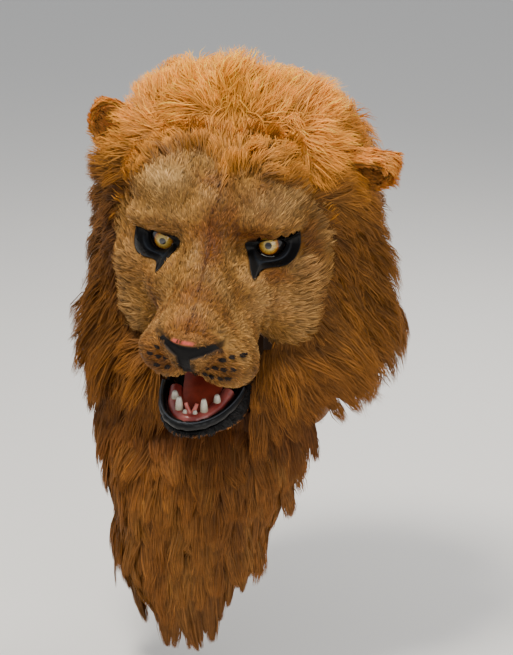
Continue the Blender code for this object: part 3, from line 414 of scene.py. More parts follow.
def place_piece(mesh: bpy.types.Mesh, finish: Finish, slot: str, *nodes: str) -> None:
    """Puts a mesh in the scene as a piece of the mask under the mesh's own name.

    Args:
        mesh: the mesh, already in place.
        finish: its material.
        slot: not used.
        nodes: the solids that it stands for.
    """
    mesh.materials.append(finish.material())
    item = add_object(mesh.name, mesh)
    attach(item, "root")
    if nodes:
        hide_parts(*nodes)
    mesh.calc_loop_triangles()
    LOG.info("%s: %d triangles", mesh.name, len(mesh.loop_triangles))


# How light the hidden side of a sheet is against the side that shows
INSIDE_SHADE = 0.25


@dataclass
class Skin:
    """A surface as a dense grid of points, from which hair grows and bases are cut.

    Attributes:
        points: rows by columns by three.
        heart: a point that the surface faces away from.
        keep: which grid points may carry hair; None keeps all.
    """

    points: Array
    heart: Array
    keep: Array | None = None
    normals: Array = field(init=False)

    def __post_init__(self) -> None:
        """Works out the normals, all facing away from the heart."""
        across = np.gradient(self.points, axis=1)
        along = np.gradient(self.points, axis=0)
        normal = unit(np.cross(across, along))
        outward = dot(normal, self.points - self.heart)
        self.normals = normal * np.sign(np.sum(outward))

    def at(self, row: Array, column: Array) -> tuple[Array, Array]:
        """Points and normals between grid points, each blended from the four around it.

        Args:
            row: row number with its fraction.
            column: column number with its fraction.

        Returns:
            Points and unit normals.
        """
        rows, columns = self.points.shape[:2]
        r = np.clip(row.astype(int), 0, rows - 2)
        c = np.clip(column.astype(int), 0, columns - 2)
        s, t = (row - r)[:, None], (column - c)[:, None]

        def blend(table: Array) -> Array:
            """Bilinear value of a grid table."""
            top = table[r, c] * (1 - t) + table[r, c + 1] * t
            low = table[r + 1, c] * (1 - t) + table[r + 1, c + 1] * t
            return top * (1 - s) + low * s

        return blend(self.points), unit(blend(self.normals))

    def scatter(self, count: int, rng: np.random.Generator) -> tuple[Array, Array]:
        """Random places, spread evenly over the area that may carry hair.

        Args:
            count: how many.
            rng: the random source.

        Returns:
            Row and column numbers with fractions.
        """
        p = self.points
        side = p[:-1, 1:] - p[:-1, :-1]
        down = p[1:, :-1] - p[:-1, :-1]
        area = np.linalg.norm(np.cross(side, down), axis=-1)
        if self.keep is not None:
            k = self.keep
            area = area * (k[:-1, :-1] & k[1:, :-1] & k[:-1, 1:] & k[1:, 1:])
        chance = np.cumsum(area.ravel())
        cell = np.searchsorted(chance, rng.random(count) * chance[-1])
        row, column = np.divmod(np.clip(cell, 0, area.size - 1), area.shape[1])
        return row + rng.random(count), column + rng.random(count)

    def backing(self, name: str, tint: PointValue, sink: float, wall: float) -> bpy.types.Mesh:
        """The surface itself as a closed sheet, sunk under the hair.

        Args:
            name: the mesh's name.
            tint: colour of each point.
            sink: how far it lies under the skin.
            wall: how thick it is.

        Returns:
            The mesh.
        """
        normals = self.normals.reshape(-1, 3)
        flat = self.points.reshape(-1, 3) - normals * sink
        quads = grid_quads(*self.points.shape[:2])
        if self.keep is not None:
            quads = quads[np.all(self.keep.reshape(-1)[quads], axis=1)]
        colour = tint(flat)
        sample = quads[len(quads) // 2]
        corners = flat[sample]
        if np.cross(corners[1] - corners[0], corners[2] - corners[0]) @ normals[sample[0]] < 0:
            quads = quads[:, ::-1]
        used, index = np.unique(quads, return_inverse=True)
        quads = index.reshape(quads.shape)
        flat, colour = flat[used], colour[used]
        count = len(flat)
        edges = quads[:, [0, 1, 1, 2, 2, 3, 3, 0]].reshape(-1, 2)
        key = edges[:, 0] * count + edges[:, 1]
        free = edges[~np.isin(key, edges[:, 1] * count + edges[:, 0])]
        brim = np.stack([free[:, 1], free[:, 0], free[:, 0] + count, free[:, 1] + count], axis=1)
        quads = np.concatenate([quads, quads[:, ::-1] + count, brim])
        flat = np.concatenate([flat, flat - normals[used] * wall])
        colour = np.concatenate([colour, colour * INSIDE_SHADE])
        return build_mesh(name, flat, quads, colour)


# Hair


ROOM_LOW = (-0.2030, -0.2480, -0.5830)
ROOM_HIGH = (0.1910, 0.2000, 0.1040)
ROOM_SHOULDER = 0.009


def hold_in(points: Array) -> Array:
    """Draws hair back inside the mask's room.

    Past the shoulder a coordinate that goes over by d goes over by w (1 - exp(-d / w)), w being the
    shoulder's width, so that no tip reaches the room's wall.

    Args:
        points: points of the hair.

    Returns:
        The points inside the room.
    """
    over = np.maximum(points - (np.array(ROOM_HIGH) - ROOM_SHOULDER), 0)
    under = np.maximum((np.array(ROOM_LOW) + ROOM_SHOULDER) - points, 0)
    points = points - over + ROOM_SHOULDER * (1 - np.exp(-over / ROOM_SHOULDER))
    return points + under - ROOM_SHOULDER * (1 - np.exp(-under / ROOM_SHOULDER))


def full_share(points: Array) -> Array:
    """A share of one at every point."""
    return np.ones(len(points))


@dataclass(frozen=True)
class Coat:
    """A kind of fur.

    Attributes:
        count: how many hairs.
        length: full length in metres.
        width: width of a hair's ribbon at its root.
        lift: angle at which it leaves the skin, in degrees.
        droop: share of the length by which the tip sinks.
        wave: side to side wave as a share of the length.
        locks: how many locks the hairs gather into.
        gather: how far the tips close on their lock, 0..1.
        uneven: spread of the locks' lengths, 0..1.
        stray: random turn of each hair from the flow.
        steps: cross sections of a hair.
        root_depth: how far under the skin it starts.
        seed: the start of its random numbers.
        contrast: spread of lightness from hair to hair.
        root_tone: lightness at the root, kept low as painted shade deep in the coat.
        tip_tone: lightness at the tip.
    """

    count: int
    length: float
    width: float
    lift: float
    droop: float = 0.1
    wave: float = 0.04
    locks: int = 400
    gather: float = 0.6
    uneven: float = 0.3
    stray: float = 0.15
    steps: int = 4
    root_depth: float = 0.002
    seed: int = 1
    contrast: float = 0.22
    root_tone: float = 0.52
    tip_tone: float = 1.15
    quick_share: float = 0.5

    def grow(self, name: str, skin: Skin, flow: PointValue, tint: PointValue,
             length: PointValue = full_share, lift: PointValue = full_share) -> bpy.types.Mesh:
        """Grows the coat as one mesh of ribbons.

        A hair runs from its root p as p + L(f cos a (t - t^2 / 7) + n sin a (t - 0.6 t^2)) - z L d t^2, with
        f the flow in the skin, n its normal, a the lift, d the droop and t from 0 to 1. It then closes on
        the same curve of its lock by the share gather t^0.9.

        Args:
            name: the mesh's name.
            skin: what it grows from.
            flow: way the hair lies at given points.
            tint: colour at given points.
            length: share of the full length at given points.
            lift: share of the full lift at given points.

        Returns:
            The mesh.
        """
        rng = np.random.default_rng(self.seed)
        count = int(self.count * (1.0))
        root, normal = skin.at(*skin.scatter(count, rng))
        hub, hub_normal = skin.at(*skin.scatter(self.locks, rng))
        lock = self.nearest(root, hub)
        hub_length = 1.0 + self.uneven * (rng.random(self.locks) * 2 - 1)
        hub_turn = rng.normal(0, self.stray, (self.locks, 3))
        hub_path = self.path(hub, hub_normal, flow(hub), hub_turn, self.length * hub_length * length(hub),
                             0.0, lift(hub), rng)
        own = self.length * length(root) * hub_length[lock] * (0.80 + 0.30 * rng.random(count))
        turn = hub_turn[lock] * 0.7 + rng.normal(0, self.stray, (count, 3))
        path = self.path(root, normal, flow(root), turn, own, self.wave, lift(root), rng)
        t = np.linspace(0, 1, self.steps + 1)[None, :, None]
        pull = self.gather * (0.75 + 0.25 * rng.random((count, 1, 1)))
        path = path + (hub_path[lock] - path) * pull * t**0.9
        return self.ribbons(name, path, normal, root, tint, rng)

    def tuft(self, name: str, root: Array, normal: Array, flow: Array, tint: PointValue) -> bpy.types.Mesh:
        """Grows one hair on each given root.

        Args:
            name: the mesh's name.
            root: the roots.
            normal: the skin's normal at each root.
            flow: way each hair lies.
            tint: colour at given points.

        Returns:
            The mesh.
        """
        rng = np.random.default_rng(self.seed)
        turn = rng.normal(0, self.stray, (len(root), 3))
        size = self.length * (0.75 + 0.5 * rng.random(len(root)))
        path = self.path(root, normal, flow, turn, size, self.wave, full_share(root), rng)
        return self.ribbons(name, path, normal, root, tint, rng)

    def nearest(self, root: Array, hub: Array) -> Array:
        """Number of the lock nearest each root."""
        square = np.sum(hub**2, axis=1)[None, :] - 2 * (root.astype(np.float32) @ hub.astype(np.float32).T)
        return np.argmin(square, axis=1)

    def path(self, root: Array, normal: Array, flow: Array, turn: Array, length: Array, wave: float,
             lift: Array, rng: np.random.Generator) -> Array:
        """Points along each hair, as the formula under grow says."""
        way = unit(flow) + turn
        way = unit(way - normal * dot(way, normal))
        across = np.cross(normal, way)
        t = np.linspace(0, 1, self.steps + 1)[None, :, None]
        angle = np.radians(self.lift) * (lift * (1 + 0.25 * rng.normal(0, 1, len(root))))[:, None, None]
        size = length[:, None, None]
        line = way[:, None] * np.cos(angle) * (t - t**2 / 7)
        line = line + normal[:, None] * np.sin(angle) * (t - 0.6 * t**2)
        fall = -UP * self.droop * t**2
        phase = rng.random((len(root), 1, 1)) * 2 * np.pi
        sway = across[:, None] * wave * np.sin(2 * np.pi * t * 1.1 + phase) * t
        return (root - normal * self.root_depth)[:, None] + size * (line + fall + sway)

    def ribbons(self, name: str, path: Array, normal: Array, root: Array, tint: PointValue,
                rng: np.random.Generator) -> bpy.types.Mesh:
        """Gives each path the width of a ribbon that tapers to a point.

        Args:
            name: the mesh's name.
            path: points along each hair.
            normal: the skin's normal at each root.
            root: each root.
            tint: colour at given points.
            rng: the random source.

        Returns:
            The mesh.
        """
        path = hold_in(path)
        count, stations = path.shape[:2]
        tangent = unit(np.gradient(path, axis=1))
        side = unit(np.cross(tangent, normal[:, None]))
        out = np.cross(side, tangent)
        roll = rng.normal(0, 0.45, (count, 1, 1))
        side = side * np.cos(roll) + out * np.sin(roll)
        t = np.linspace(0, 1, stations)
        profile = (1 - t**1.8) ** 0.9 * (0.75 + 0.5 * np.sin(np.pi * t) ** 0.5)
        half = self.width / 2 * profile[None, :, None] * (0.6 + 0.8 * rng.random((count, 1, 1)))
        left, right = path - side * half, path + side * half
        body = np.stack([left[:, :-1], right[:, :-1]], axis=2).reshape(count, -1, 3)
        points = np.concatenate([body, path[:, -1:]], axis=1)
        per = points.shape[1]
        strip = []
        for k in range(stations - 2):
            a, b, c, d = 2 * k, 2 * k + 1, 2 * k + 3, 2 * k + 2
            strip += [(a, b, c), (a, c, d)]
        strip.append((per - 3, per - 2, per - 1))
        faces = (np.array(strip)[None] + np.arange(count)[:, None, None] * per).reshape(-1, 3)
        sample = points[:, [0, 1, 3]]
        facing = np.sum(np.cross(sample[:, 1] - sample[:, 0], sample[:, 2] - sample[:, 0]) * normal, axis=1)
        flip = np.repeat(facing < 0, len(strip))
        faces[flip] = faces[flip][:, ::-1]
        along = np.concatenate([np.repeat(t[:-1], 2), [1.0]])
        # Painted shade: each hair is darker towards its root, deep in the coat
        fade = self.root_tone + (self.tip_tone - self.root_tone) * along
        shade = fade[None, :, None] * np.exp(rng.normal(0, self.contrast, (count, 1, 1)))
        colour = tint(root)[:, None] * shade
        warm = 1 + rng.normal(0, 0.05, (count, 1, 1)) * np.array([0.4, 0.0, -1.2])
        colour = np.clip(colour * warm, 0.002, 1.0)
        mesh = build_mesh(name, points.reshape(-1, 3), faces, colour.reshape(-1, 3))
        surface = unit(np.cross(side, tangent)) * np.sign(dot(np.cross(side, tangent), normal[:, None]))
        bend = unit(surface * 0.55 + normal[:, None] * 0.45)
        bend = np.concatenate([np.repeat(bend[:, :-1], 2, axis=1), bend[:, -1:]], axis=1)
        mesh.normals_split_custom_set_from_vertices(bend.reshape(-1, 3).tolist())
        return mesh


# Forms shared with the solids


@dataclass(frozen=True)
class Ring:
    """One level ring round the head."""

    z: float
    x_middle: float
    half_width: float
    y_widest: float
    front: float
    back: float


@dataclass(frozen=True)
class Wrap:
    """A closed surface round the head: superellipse rings below, a dome above.

    Attributes:
        rings: the rings, lowest first.
        top_z: height of the dome.
        rounding: power of the superellipse.
        dome: power by which the dome closes.
    """

    rings: tuple[Ring, ...]
    top_z: float
    rounding: float
    dome: float

    def column(self, name: str, z: Array) -> Array:
        """One named column of the rings at heights z."""
        return curve_value([ring.z for ring in self.rings], [getattr(ring, name) for ring in self.rings], z)

    def point(self, turn: Array, level: Array) -> Array:
        """Points of the surface.

        x = width sin^(2/n)(turn), y = depth cos^(2/n)(turn), each shrunk by cos(rise)^dome above level 1.

        Args:
            turn: angle round the head, 0 at the front.
            level: 0 at the hem, 1 at the dome's base, 2 at the crown.

        Returns:
            The points.
        """
        turn, level = np.broadcast_arrays(np.asarray(turn, float), np.asarray(level, float))
        base = self.rings[-1].z
        z = self.rings[0].z + (base - self.rings[0].z) * np.clip(level, 0, 1)
        rise = np.clip(level - 1, 0, 1) * np.pi / 2
        shrink = np.cos(rise) ** self.dome
        middle = self.column("y_widest", z)
        front = middle - self.column("front", z)
        back = self.column("back", z) - middle
        across = signed_power(np.sin(turn), 2 / self.rounding)
        along = signed_power(np.cos(turn), 2 / self.rounding)
        x = self.column("x_middle", z) + self.column("half_width", z) * shrink * across
        y = middle - np.where(along > 0, front, back) * shrink * along
        return np.stack([x, y, z + (self.top_z - base) * np.sin(rise)], axis=-1)

    def front_depth(self, x: Array, z: Array) -> Array:
        """Depth of the surface straight in front of (x, z)."""
        base = self.rings[-1].z
        rise = np.clip((z - base) / (self.top_z - base), 0, 0.98)
        shrink = np.sqrt(1 - rise**2)
        half_width = self.column("half_width", z) * shrink
        middle = self.column("y_widest", z)
        front = middle - self.column("front", z)
        inside = np.clip(1 - (np.abs(x) / half_width) ** self.rounding, 0, 1)
        return middle - front * shrink * inside ** (1 / self.rounding)


HEAD_HEART = np.array([0.0, 0.0, -0.150])
HOOD = Wrap(
    (
        Ring(-0.320, 0.0, 0.108, -0.005, -0.094, 0.112),
        Ring(-0.262, 0.0, 0.111, -0.006, -0.092, 0.110),
        Ring(-0.220, 0.0, 0.120, -0.008, -0.091, 0.110),
        Ring(-0.170, 0.0, 0.126, -0.010, -0.090, 0.112),
        Ring(-0.115, 0.0, 0.130, -0.010, -0.088, 0.114),
        Ring(-0.060, 0.0, 0.128, -0.008, -0.084, 0.114),
    ),
    0.0055, 3.0, 1.0,
)
HAIR = Wrap(
    (
        Ring(-0.320, -0.010, 0.162, -0.014, -0.120, 0.150),
        Ring(-0.262, -0.008, 0.166, -0.016, -0.116, 0.156),
        Ring(-0.220, -0.006, 0.167, -0.018, -0.112, 0.160),
        Ring(-0.170, -0.005, 0.164, -0.018, -0.108, 0.160),
        Ring(-0.115, -0.004, 0.159, -0.014, -0.104, 0.157),
        Ring(-0.060, -0.003, 0.154, -0.008, -0.102, 0.150),
    ),
    0.060, 2.3, 0.75,
)


@dataclass(frozen=True)
class Lump:
    """An ellipsoid melted into the face; x > 0 means one on each side."""

    x: float
    y: float
    z: float
    wide: float
    deep: float
    tall: float

    def distance(self, points: Array) -> Array:
        """Rough distance outside it, mirrored to both sides."""
        x, y, z = axes(points)
        away = np.stack([np.abs(x) - self.x, y - self.y, z - self.z], -1)
        radii = np.array([self.wide, self.deep, self.tall])
        scaled = np.linalg.norm(away / radii, axis=-1)
        slope = np.linalg.norm(away / radii**2, axis=-1) + 1e-9
        return scaled * (scaled - 1) / slope


@dataclass(frozen=True)
class FaceForm:
    """The sculpted face: lumps and a nose bridge melted together, with the eye sockets pressed in."""

    lumps: tuple[Lump, ...] = (
        Lump(0.000, -0.030, -0.112, 0.138, 0.073, 0.128),
        Lump(0.050, -0.066, -0.050, 0.048, 0.054, 0.048),
        Lump(0.054, -0.096, -0.083, 0.042, 0.027, 0.016),
        Lump(0.078, -0.074, -0.138, 0.038, 0.036, 0.036),
        Lump(0.074, -0.070, -0.182, 0.038, 0.040, 0.044),
        Lump(0.038, -0.106, -0.150, 0.034, 0.040, 0.034),
        Lump(0.000, -0.094, -0.086, 0.028, 0.036, 0.046),
        Lump(0.000, -0.134, -0.190, 0.056, 0.072, 0.040),
        Lump(0.030, -0.178, -0.205, 0.033, 0.036, 0.027),
        Lump(0.000, -0.194, -0.188, 0.028, 0.028, 0.021),
    )
    socket: Lump = Lump(0.057, -0.140, -0.106, 0.027, 0.020, 0.014)
    melt_size: float = 0.015
    bridge_top: tuple[float, float, float] = (0.0, -0.104, -0.096)
    bridge_tip: tuple[float, float, float] = (0.0, -0.190, -0.180)
    bridge_radius: float = 0.025
    bridge_flatness: float = 0.82
    heart: tuple[float, float, float] = (0.0, -0.020, -0.130)
    muzzle_start: float = -0.110
    muzzle_run: float = 0.070
    muzzle_shift: float = 0.006
    muzzle_roll: float = 0.11

    def muzzle_share(self, y: Array) -> Array:
        """How far a depth lies along the muzzle: 0 at the cheeks, 1 at the lip."""
        return ease((self.muzzle_start - y) / self.muzzle_run)

    def bridge_distance(self, points: Array) -> Array:
        """Distance outside the bar of the nose bridge, flattened from side to side."""
        start, end = np.array(self.bridge_top), np.array(self.bridge_tip)
        run = end - start
        away = points - start
        share = np.clip(away @ run / (run @ run), 0, 1)
        off = away - share[..., None] * run
        off[..., 0] *= self.bridge_flatness
        return np.linalg.norm(off, axis=-1) - self.bridge_radius

    def melt(self, first: Array, second: Array) -> Array:
        """The nearer of two distances, rounded where they meet."""
        mix = np.clip(0.5 + 0.5 * (second - first) / self.melt_size, 0, 1)
        return second * (1 - mix) + first * mix - self.melt_size * mix * (1 - mix)

    def distance(self, points: Array) -> Array:
        """Distance outside the face, whose muzzle hangs a little to the viewer's right."""
        share = self.muzzle_share(points[..., 1])
        x = points[..., 0] - self.muzzle_shift * share
        points = np.stack([x, points[..., 1], points[..., 2] + self.muzzle_roll * x * share], axis=-1)
        near = self.bridge_distance(points)
        for lump in self.lumps:
            near = self.melt(near, lump.distance(points))
        return -self.melt(-near, self.socket.distance(points))

    def close_in(self, point: PointValue, inside: Array, outside: Array, steps: int) -> Array:
        """Points of the surface between places inside it and outside it, found by halving.

        Args:
            point: the point that belongs to a place on its line.
            inside: a place on each line within the face.
            outside: the next place on each line outside it.
            steps: how often the gap is halved.

        Returns:
            The points.
        """
        for _ in range(steps):
            middle = (inside + outside) / 2
            hit = self.distance(point(middle)) < 0
            inside, outside = np.where(hit, middle, inside), np.where(hit, outside, middle)
        return point(inside)

    def cast(self, directions: Array) -> Array:
        """Outermost points of the face along directions from its heart.

        Args:
            directions: where to look.

        Returns:
            The points.
        """
        directions = unit(directions)
        heart = np.array(self.heart)
        reach = np.linspace(0.030, 0.260, 58)
        lead = (1,) * (directions.ndim - 1)
        inside = self.distance(heart + reach.reshape(-1, *lead, 1) * directions) < 0
        last = len(reach) - 1 - np.argmax(inside[::-1], axis=0)
        after = np.minimum(last + 1, len(reach) - 1)
        return self.close_in(lambda at: heart + at[..., None] * directions, reach[last], reach[after], 14)

    def front(self, x: Array, z: Array) -> Array:
        """Points of the face met first when looking straight at (x, z).

        Args:
            x: places across.
            z: heights.

        Returns:
            The points.
        """
        y = np.linspace(-0.24, -0.04, 81)
        inside = self.distance(np.stack(np.broadcast_arrays(x, y[:, None], z), axis=-1)) < 0
        first = np.argmax(inside, axis=0)
        before = np.maximum(first - 1, 0)
        return self.close_in(lambda at: np.stack([x, at, z], axis=-1), y[first], y[before], 12)


FACE = FaceForm()
FACE_HEART = np.array(FACE.heart)
RIM = (
    (0.000, -0.014), (0.020, -0.007), (0.044, -0.008), (0.066, -0.017), (0.086, -0.034), (0.102, -0.058),
    (0.113, -0.090), (0.117, -0.124), (0.113, -0.148), (0.099, -0.174), (0.082, -0.200), (0.068, -0.222),
)
RIM_CORNER = 4
UPPER_LIP = (
    (0.068, -0.088, -0.222), (0.060, -0.118, -0.221), (0.056, -0.140, -0.219), (0.047, -0.163, -0.224),
    (0.026, -0.192, -0.227), (0.009, -0.204, -0.221), (0.000, -0.206, -0.215),
)


def rim_chain() -> Array:
    """The fur edge as (x, z), from the viewer's left jowl over the top to the right one."""
    right = np.array(RIM)
    return np.concatenate([right[:0:-1] * [-1, 1], right])


def rim_outline() -> Array:
    """The fur edge as (x, z), closed under the jaw."""
    chain = rounded(rim_chain())
    chain[:, 0] *= 1 - 0.27 * ramp(chain[:, 1], -0.180, -0.040)
    return np.concatenate([chain, [(0.045, -0.262), (0.041, -0.330), (-0.041, -0.330), (-0.045, -0.262)]])


def colour_field(red: float, green: float, blue: float) -> Array:
    """A field that holds the colour named by its screen values."""
    return field(default_factory=lambda: linear(red, green, blue))


@dataclass(frozen=True)
class Palette:
    """Linear colours of the furs and skins, named for where they lie."""

    # crown and crest: the mane's gold, partly lightened as painted light from above
    crown: Array = colour_field(238, 160, 64)
    crest: Array = colour_field(255, 176, 50)
    mane: Array = colour_field(150, 98, 42)
    # mane_low: darker, partly painted shade low on the mane
    mane_low: Array = colour_field(136, 86, 37)
    mane_shade: Array = colour_field(82, 48, 20)
    bib: Array = colour_field(136, 87, 41)
    bib_dark: Array = colour_field(98, 57, 26)
    bib_pale: Array = colour_field(164, 116, 58)
    bib_tip: Array = colour_field(52, 42, 30)
    face: Array = colour_field(168, 122, 62)
    face_pale: Array = colour_field(206, 160, 98)
    face_rust: Array = colour_field(122, 68, 22)
    ear: Array = colour_field(214, 144, 64)
    ear_inside: Array = colour_field(224, 156, 82)
    black: Array = colour_field(22, 21, 22)


INK = Palette()


def mix(first: Array, second: Array, share: Array) -> Array:
    """Blends two colours by a share for each point."""
    return first + (second - first) * np.clip(share, 0, 1)[..., None]


# Mane


# Level at which the mane ends below, for each turn round the head in degrees
HEM_TURNS = (-180, -114, -28, 28, 114, 135, 180)
HEM_LEVELS = (0.17, 0.10, 0.11, 0.11, 0.31, 0.22, 0.17)
SIDE_COAT = Coat(count=22000, length=0.056, width=0.00105, lift=28, droop=0.12, wave=0.10, locks=460,
                 gather=0.74, uneven=0.55, stray=0.18, steps=3, root_depth=0.008, seed=22, contrast=0.25,
                 quick_share=0.35)
MANE_COATS = {
    "mane_crown": replace(SIDE_COAT, count=30000, width=0.00085, locks=560, gather=0.56, stray=0.28, seed=21,
                          root_tone=0.64),
    "mane_left": SIDE_COAT,
    "mane_right": replace(SIDE_COAT, seed=23),
    "mane_back": replace(SIDE_COAT, count=8000, seed=24),
}
EAR_ROOTS = (np.array([-0.124, 0.006, -0.008]), np.array([0.118, 0.004, -0.026]))


@dataclass
class Mane:
    """The mane: long hair round the hood, over the crown and down beside the face.

    Attributes:
        columns: grid columns round the head.
        rows: grid rows from the hem to the crown.
        standoff: how far the cloth backing stands off the hood.
        side_reach: how far from the face the side hair takes to reach its full depth.
        crown_reach: the same over the brow.
        edge_forward: how far the edge hair stands forward of the hood.
        jaw_forward: how much further forward it stands beside the jaw.
        flow_source: the point that the hair lies away from.
        top_level: level at which the grid ends at the crown.
        crown_level: level above which the hair is the crown's.
        back_turn: turn, in degrees, beyond which it is the back's.
        pressed: depth of the hair where an ear's root presses it flat.
        crest: extra depth over the crown.
        flare: extra depth low on the viewer's right.
        ripple: extra depth that comes and goes all over.
        cloth_sink: how far the cloth lies under the hair's skin.
        cloth_wall: how thick the cloth is.
    """

    columns: int = 150
    rows: int = 84
    standoff: float = 0.0054
    side_reach: float = 0.060
    crown_reach: float = 0.046
    edge_forward: float = 0.010
    jaw_forward: float = 0.020
    flow_source: tuple[float, float, float] = (0.008, -0.190, -0.085)
    top_level: float = 1.985
    crown_level: float = 1.20
    back_turn: float = 114.0
    pressed: float = 0.008
    crest: float = 0.009
    flare: float = 0.016
    ripple: float = 0.0045
    cloth_sink: float = 0.010
    cloth_wall: float = 0.002
    skin: Skin = field(init=False)
    turns: Array = field(init=False)
    levels: Array = field(init=False)

    def __post_init__(self) -> None:
        """Works out the hair's skin."""
        turn = np.linspace(-np.pi, np.pi, self.columns)[None, :]
        hem = np.interp(np.degrees(turn), HEM_TURNS, HEM_LEVELS)
        climb = np.linspace(0, 1, self.rows)[:, None]
        level = hem + (self.top_level - hem) * climb
        turn = np.broadcast_to(turn, level.shape)
        back = HOOD.point(turn, level)
        away = unit(np.cross(np.gradient(back, axis=1), np.gradient(back, axis=0)))
        away = away * np.sign(dot(away, back - HEAD_HEART))
        inner = back + away * self.standoff
        full = HAIR.point(turn, level)
        press = self.ear_press(full)[..., None]
        full = full * (1 - press) + (inner + away * self.pressed) * press
        distance = self.rim_distance(back)
        high = ramp(back[..., 2], -0.075, 0.055)
        reach = self.side_reach + (self.crown_reach - self.side_reach) * high
        share = ease(distance / reach)[..., None]
        beside_jaw = ramp(back[..., 2], -0.205, -0.030) * ramp(np.abs(back[..., 0]), 0.11, -0.03)
        forward = self.edge_forward + self.jaw_forward * beside_jaw
        edge = inner - forward[..., None] * np.array([0, 1.0, 0])
        points = edge * (1 - share) + full * share
        points = points + away * (share[..., 0] * self.swell(points) * (1 - press[..., 0]))[..., None]
        self.turns, self.levels = turn, level
        self.skin = Skin(points, HEAD_HEART, keep=distance > 0.001)

    def swell(self, points: Array) -> Array:
        """Extra depth of the hair: a crest over the crown, and a flare low on the viewer's right."""
        x, y, z = axes(points)
        crest = self.crest * ramp(z, 0.005, 0.040) * bell(y, -0.020, 0.085) * bell(x, -0.045, 0.070)
        flare = self.flare * bell(z, -0.215, 0.035) * bell(y, 0.030, 0.070) * (x > 0)
        ripple = self.ripple * lattice(points, 0.032, 17)
        return crest + flare + ripple

    def ear_press(self, points: Array, extra: float = 0.0) -> Array:
        """How far the hair is pressed flat by an ear's root: 0 free, 1 flat."""
        press = np.zeros(points.shape[:-1])
        for root in EAR_ROOTS:
            away = np.linalg.norm(points - root, axis=-1)
            press = np.maximum(press, np.clip((0.060 + extra - away) / 0.030, 0, 1))
        return ease(press)

    def rim_distance(self, points: Array) -> Array:
        """Distance outside the face's fur edge and the jaw's sides, negative within them."""
        outline = resample(np.concatenate([rim_outline(), rim_outline()[:1]]), 420)
        depth = HOOD.front_depth(outline[:, 0], outline[:, 1])
        edge = np.stack([outline[:, 0], depth, outline[:, 1]], axis=1).astype(np.float32)
        flat = points.reshape(-1, 3).astype(np.float32)
        square = np.sum(flat**2, axis=1)[:, None] + np.sum(edge**2, axis=1)[None] - 2 * flat @ edge.T
        distance = np.sqrt(np.clip(square.min(axis=1), 0, None)).reshape(points.shape[:-1])
        inside = inside_outline(points[..., [0, 2]], rim_outline()) & (points[..., 1] < -0.030)
        return np.where(inside, -distance, distance)

    def flow(self, points: Array) -> Array:
        """Way the hair lies: outward from the brow, downward lower on, and down to the brow in front."""
        x, _, z = (part[..., None] for part in axes(points))
        edge = self.rim_distance(points)[..., None]
        away = unit(points - np.array(self.flow_source))
        out = away - UP * (0.05 + 0.95 * np.clip(-z / 0.20, 0, 1))
        out = out + np.array([1.1, 0, 0.15]) * (ramp(x, 0.05, 0.05) * ramp(z, -0.15, -0.08))
        top = ramp(z, -0.055, 0.050)
        spill = ease(lattice(points, 0.022, 19)[..., None] * 1.6 - 0.1)
        down = np.array([0, -0.55, -0.8]) + x * np.array([4.0, 0, 0])
        share = ramp(edge, 0.060, -0.030) * top * (0.25 + 0.75 * spill)
        beside = ramp(edge, 0.034, -0.022) * ramp(z, -0.185, -0.02) * ramp(z, -0.275, 0.02)
        tuck = np.sign(x) * np.array([-0.55, 0, 0]) + np.array([0, -0.25, -0.8])
        out = out * (1 - beside) + tuck * beside
        return unit(out * (1 - share) + down * share) + swirl(points, 0.045, 3) * (0.30 + 0.25 * top)

    def tint(self, points: Array) -> Array:
        """Colour: gold over the crown with a lighter top, partly painted light from above; brown beside and
        below, with painted shade low down, on the viewer's left and in the folds by the face.
        """
        x, _, z = axes(points)
        # Gold over the crown: partly its own colour, partly painted light from above
        high = ramp(z, -0.085, 0.11)
        colour = mix(INK.mane, INK.crown, high)
        # Painted highlight: the crest at the very top is lighter still
        crest = ramp(z, 0.020, 0.03)
        colour = mix(colour, INK.crest, crest * 0.6)
        # Painted shade, partly: the mane is darker low down
        low = ramp(z, -0.19, -0.10)
        colour = mix(colour, INK.mane_low, low)
        # Painted shade in the folds where the mane meets the face, weaker beside the jaw
        jaw_side = ramp(z, -0.20, -0.03)
        near = ramp(self.rim_distance(points), 0.030, -0.030) * (1 - 0.55 * high) * (1 - 0.5 * jaw_side)
        colour = mix(colour, INK.mane_shade, near * np.where(x > 0, 0.45, 0.70))
        # Painted shade: the mane is darker on the viewer's left
        left = ramp(x, -0.03, -0.08) * (1 - high)
        colour = mix(colour, INK.mane_shade, left * 0.35)
        patch = lattice(points, 0.035, 11)
        colour = mix(colour, INK.mane_shade, np.clip(patch, 0, 1) * 0.35 * (1 - 0.6 * high))
        return colour * (1 + 0.12 * lattice(points, 0.012, 13))[..., None]

    def back_tint(self, points: Array) -> Array:
        """Colour of the cloth under the hair."""
        return self.tint(points) * 0.42

    def length(self, points: Array) -> Array:
        """Share of the full length: short by the ears and along the face's edge."""
        x, y, z = axes(points)
        free = 1 - self.ear_press(points, 0.012)
        edge = ease(self.rim_distance(points) / 0.040)
        crown = ramp(z, -0.04, 0.06)
        hem = ramp(z, -0.235, -0.04)
        hem = hem * (0.22 + 0.12 * ramp(x, 0.04, 0.03) * ramp(y, 0.02, -0.04))
        return (0.50 + 0.50 * free) * (0.55 + 0.45 * edge) * (1 - 0.15 * crown) * (1 - hem)

    def lift(self, points: Array) -> Array:
        """Share of the full lift: more over the crown, little beside the jaw."""
        x, _, z = axes(points)
        crown = ramp(z, 0.0, 0.05)
        low = ramp(z, -0.19, -0.05)
        peak = bell(x, -0.040, 0.070)
        return 1 + (0.75 * peak - 0.40) * crown - 0.35 * low

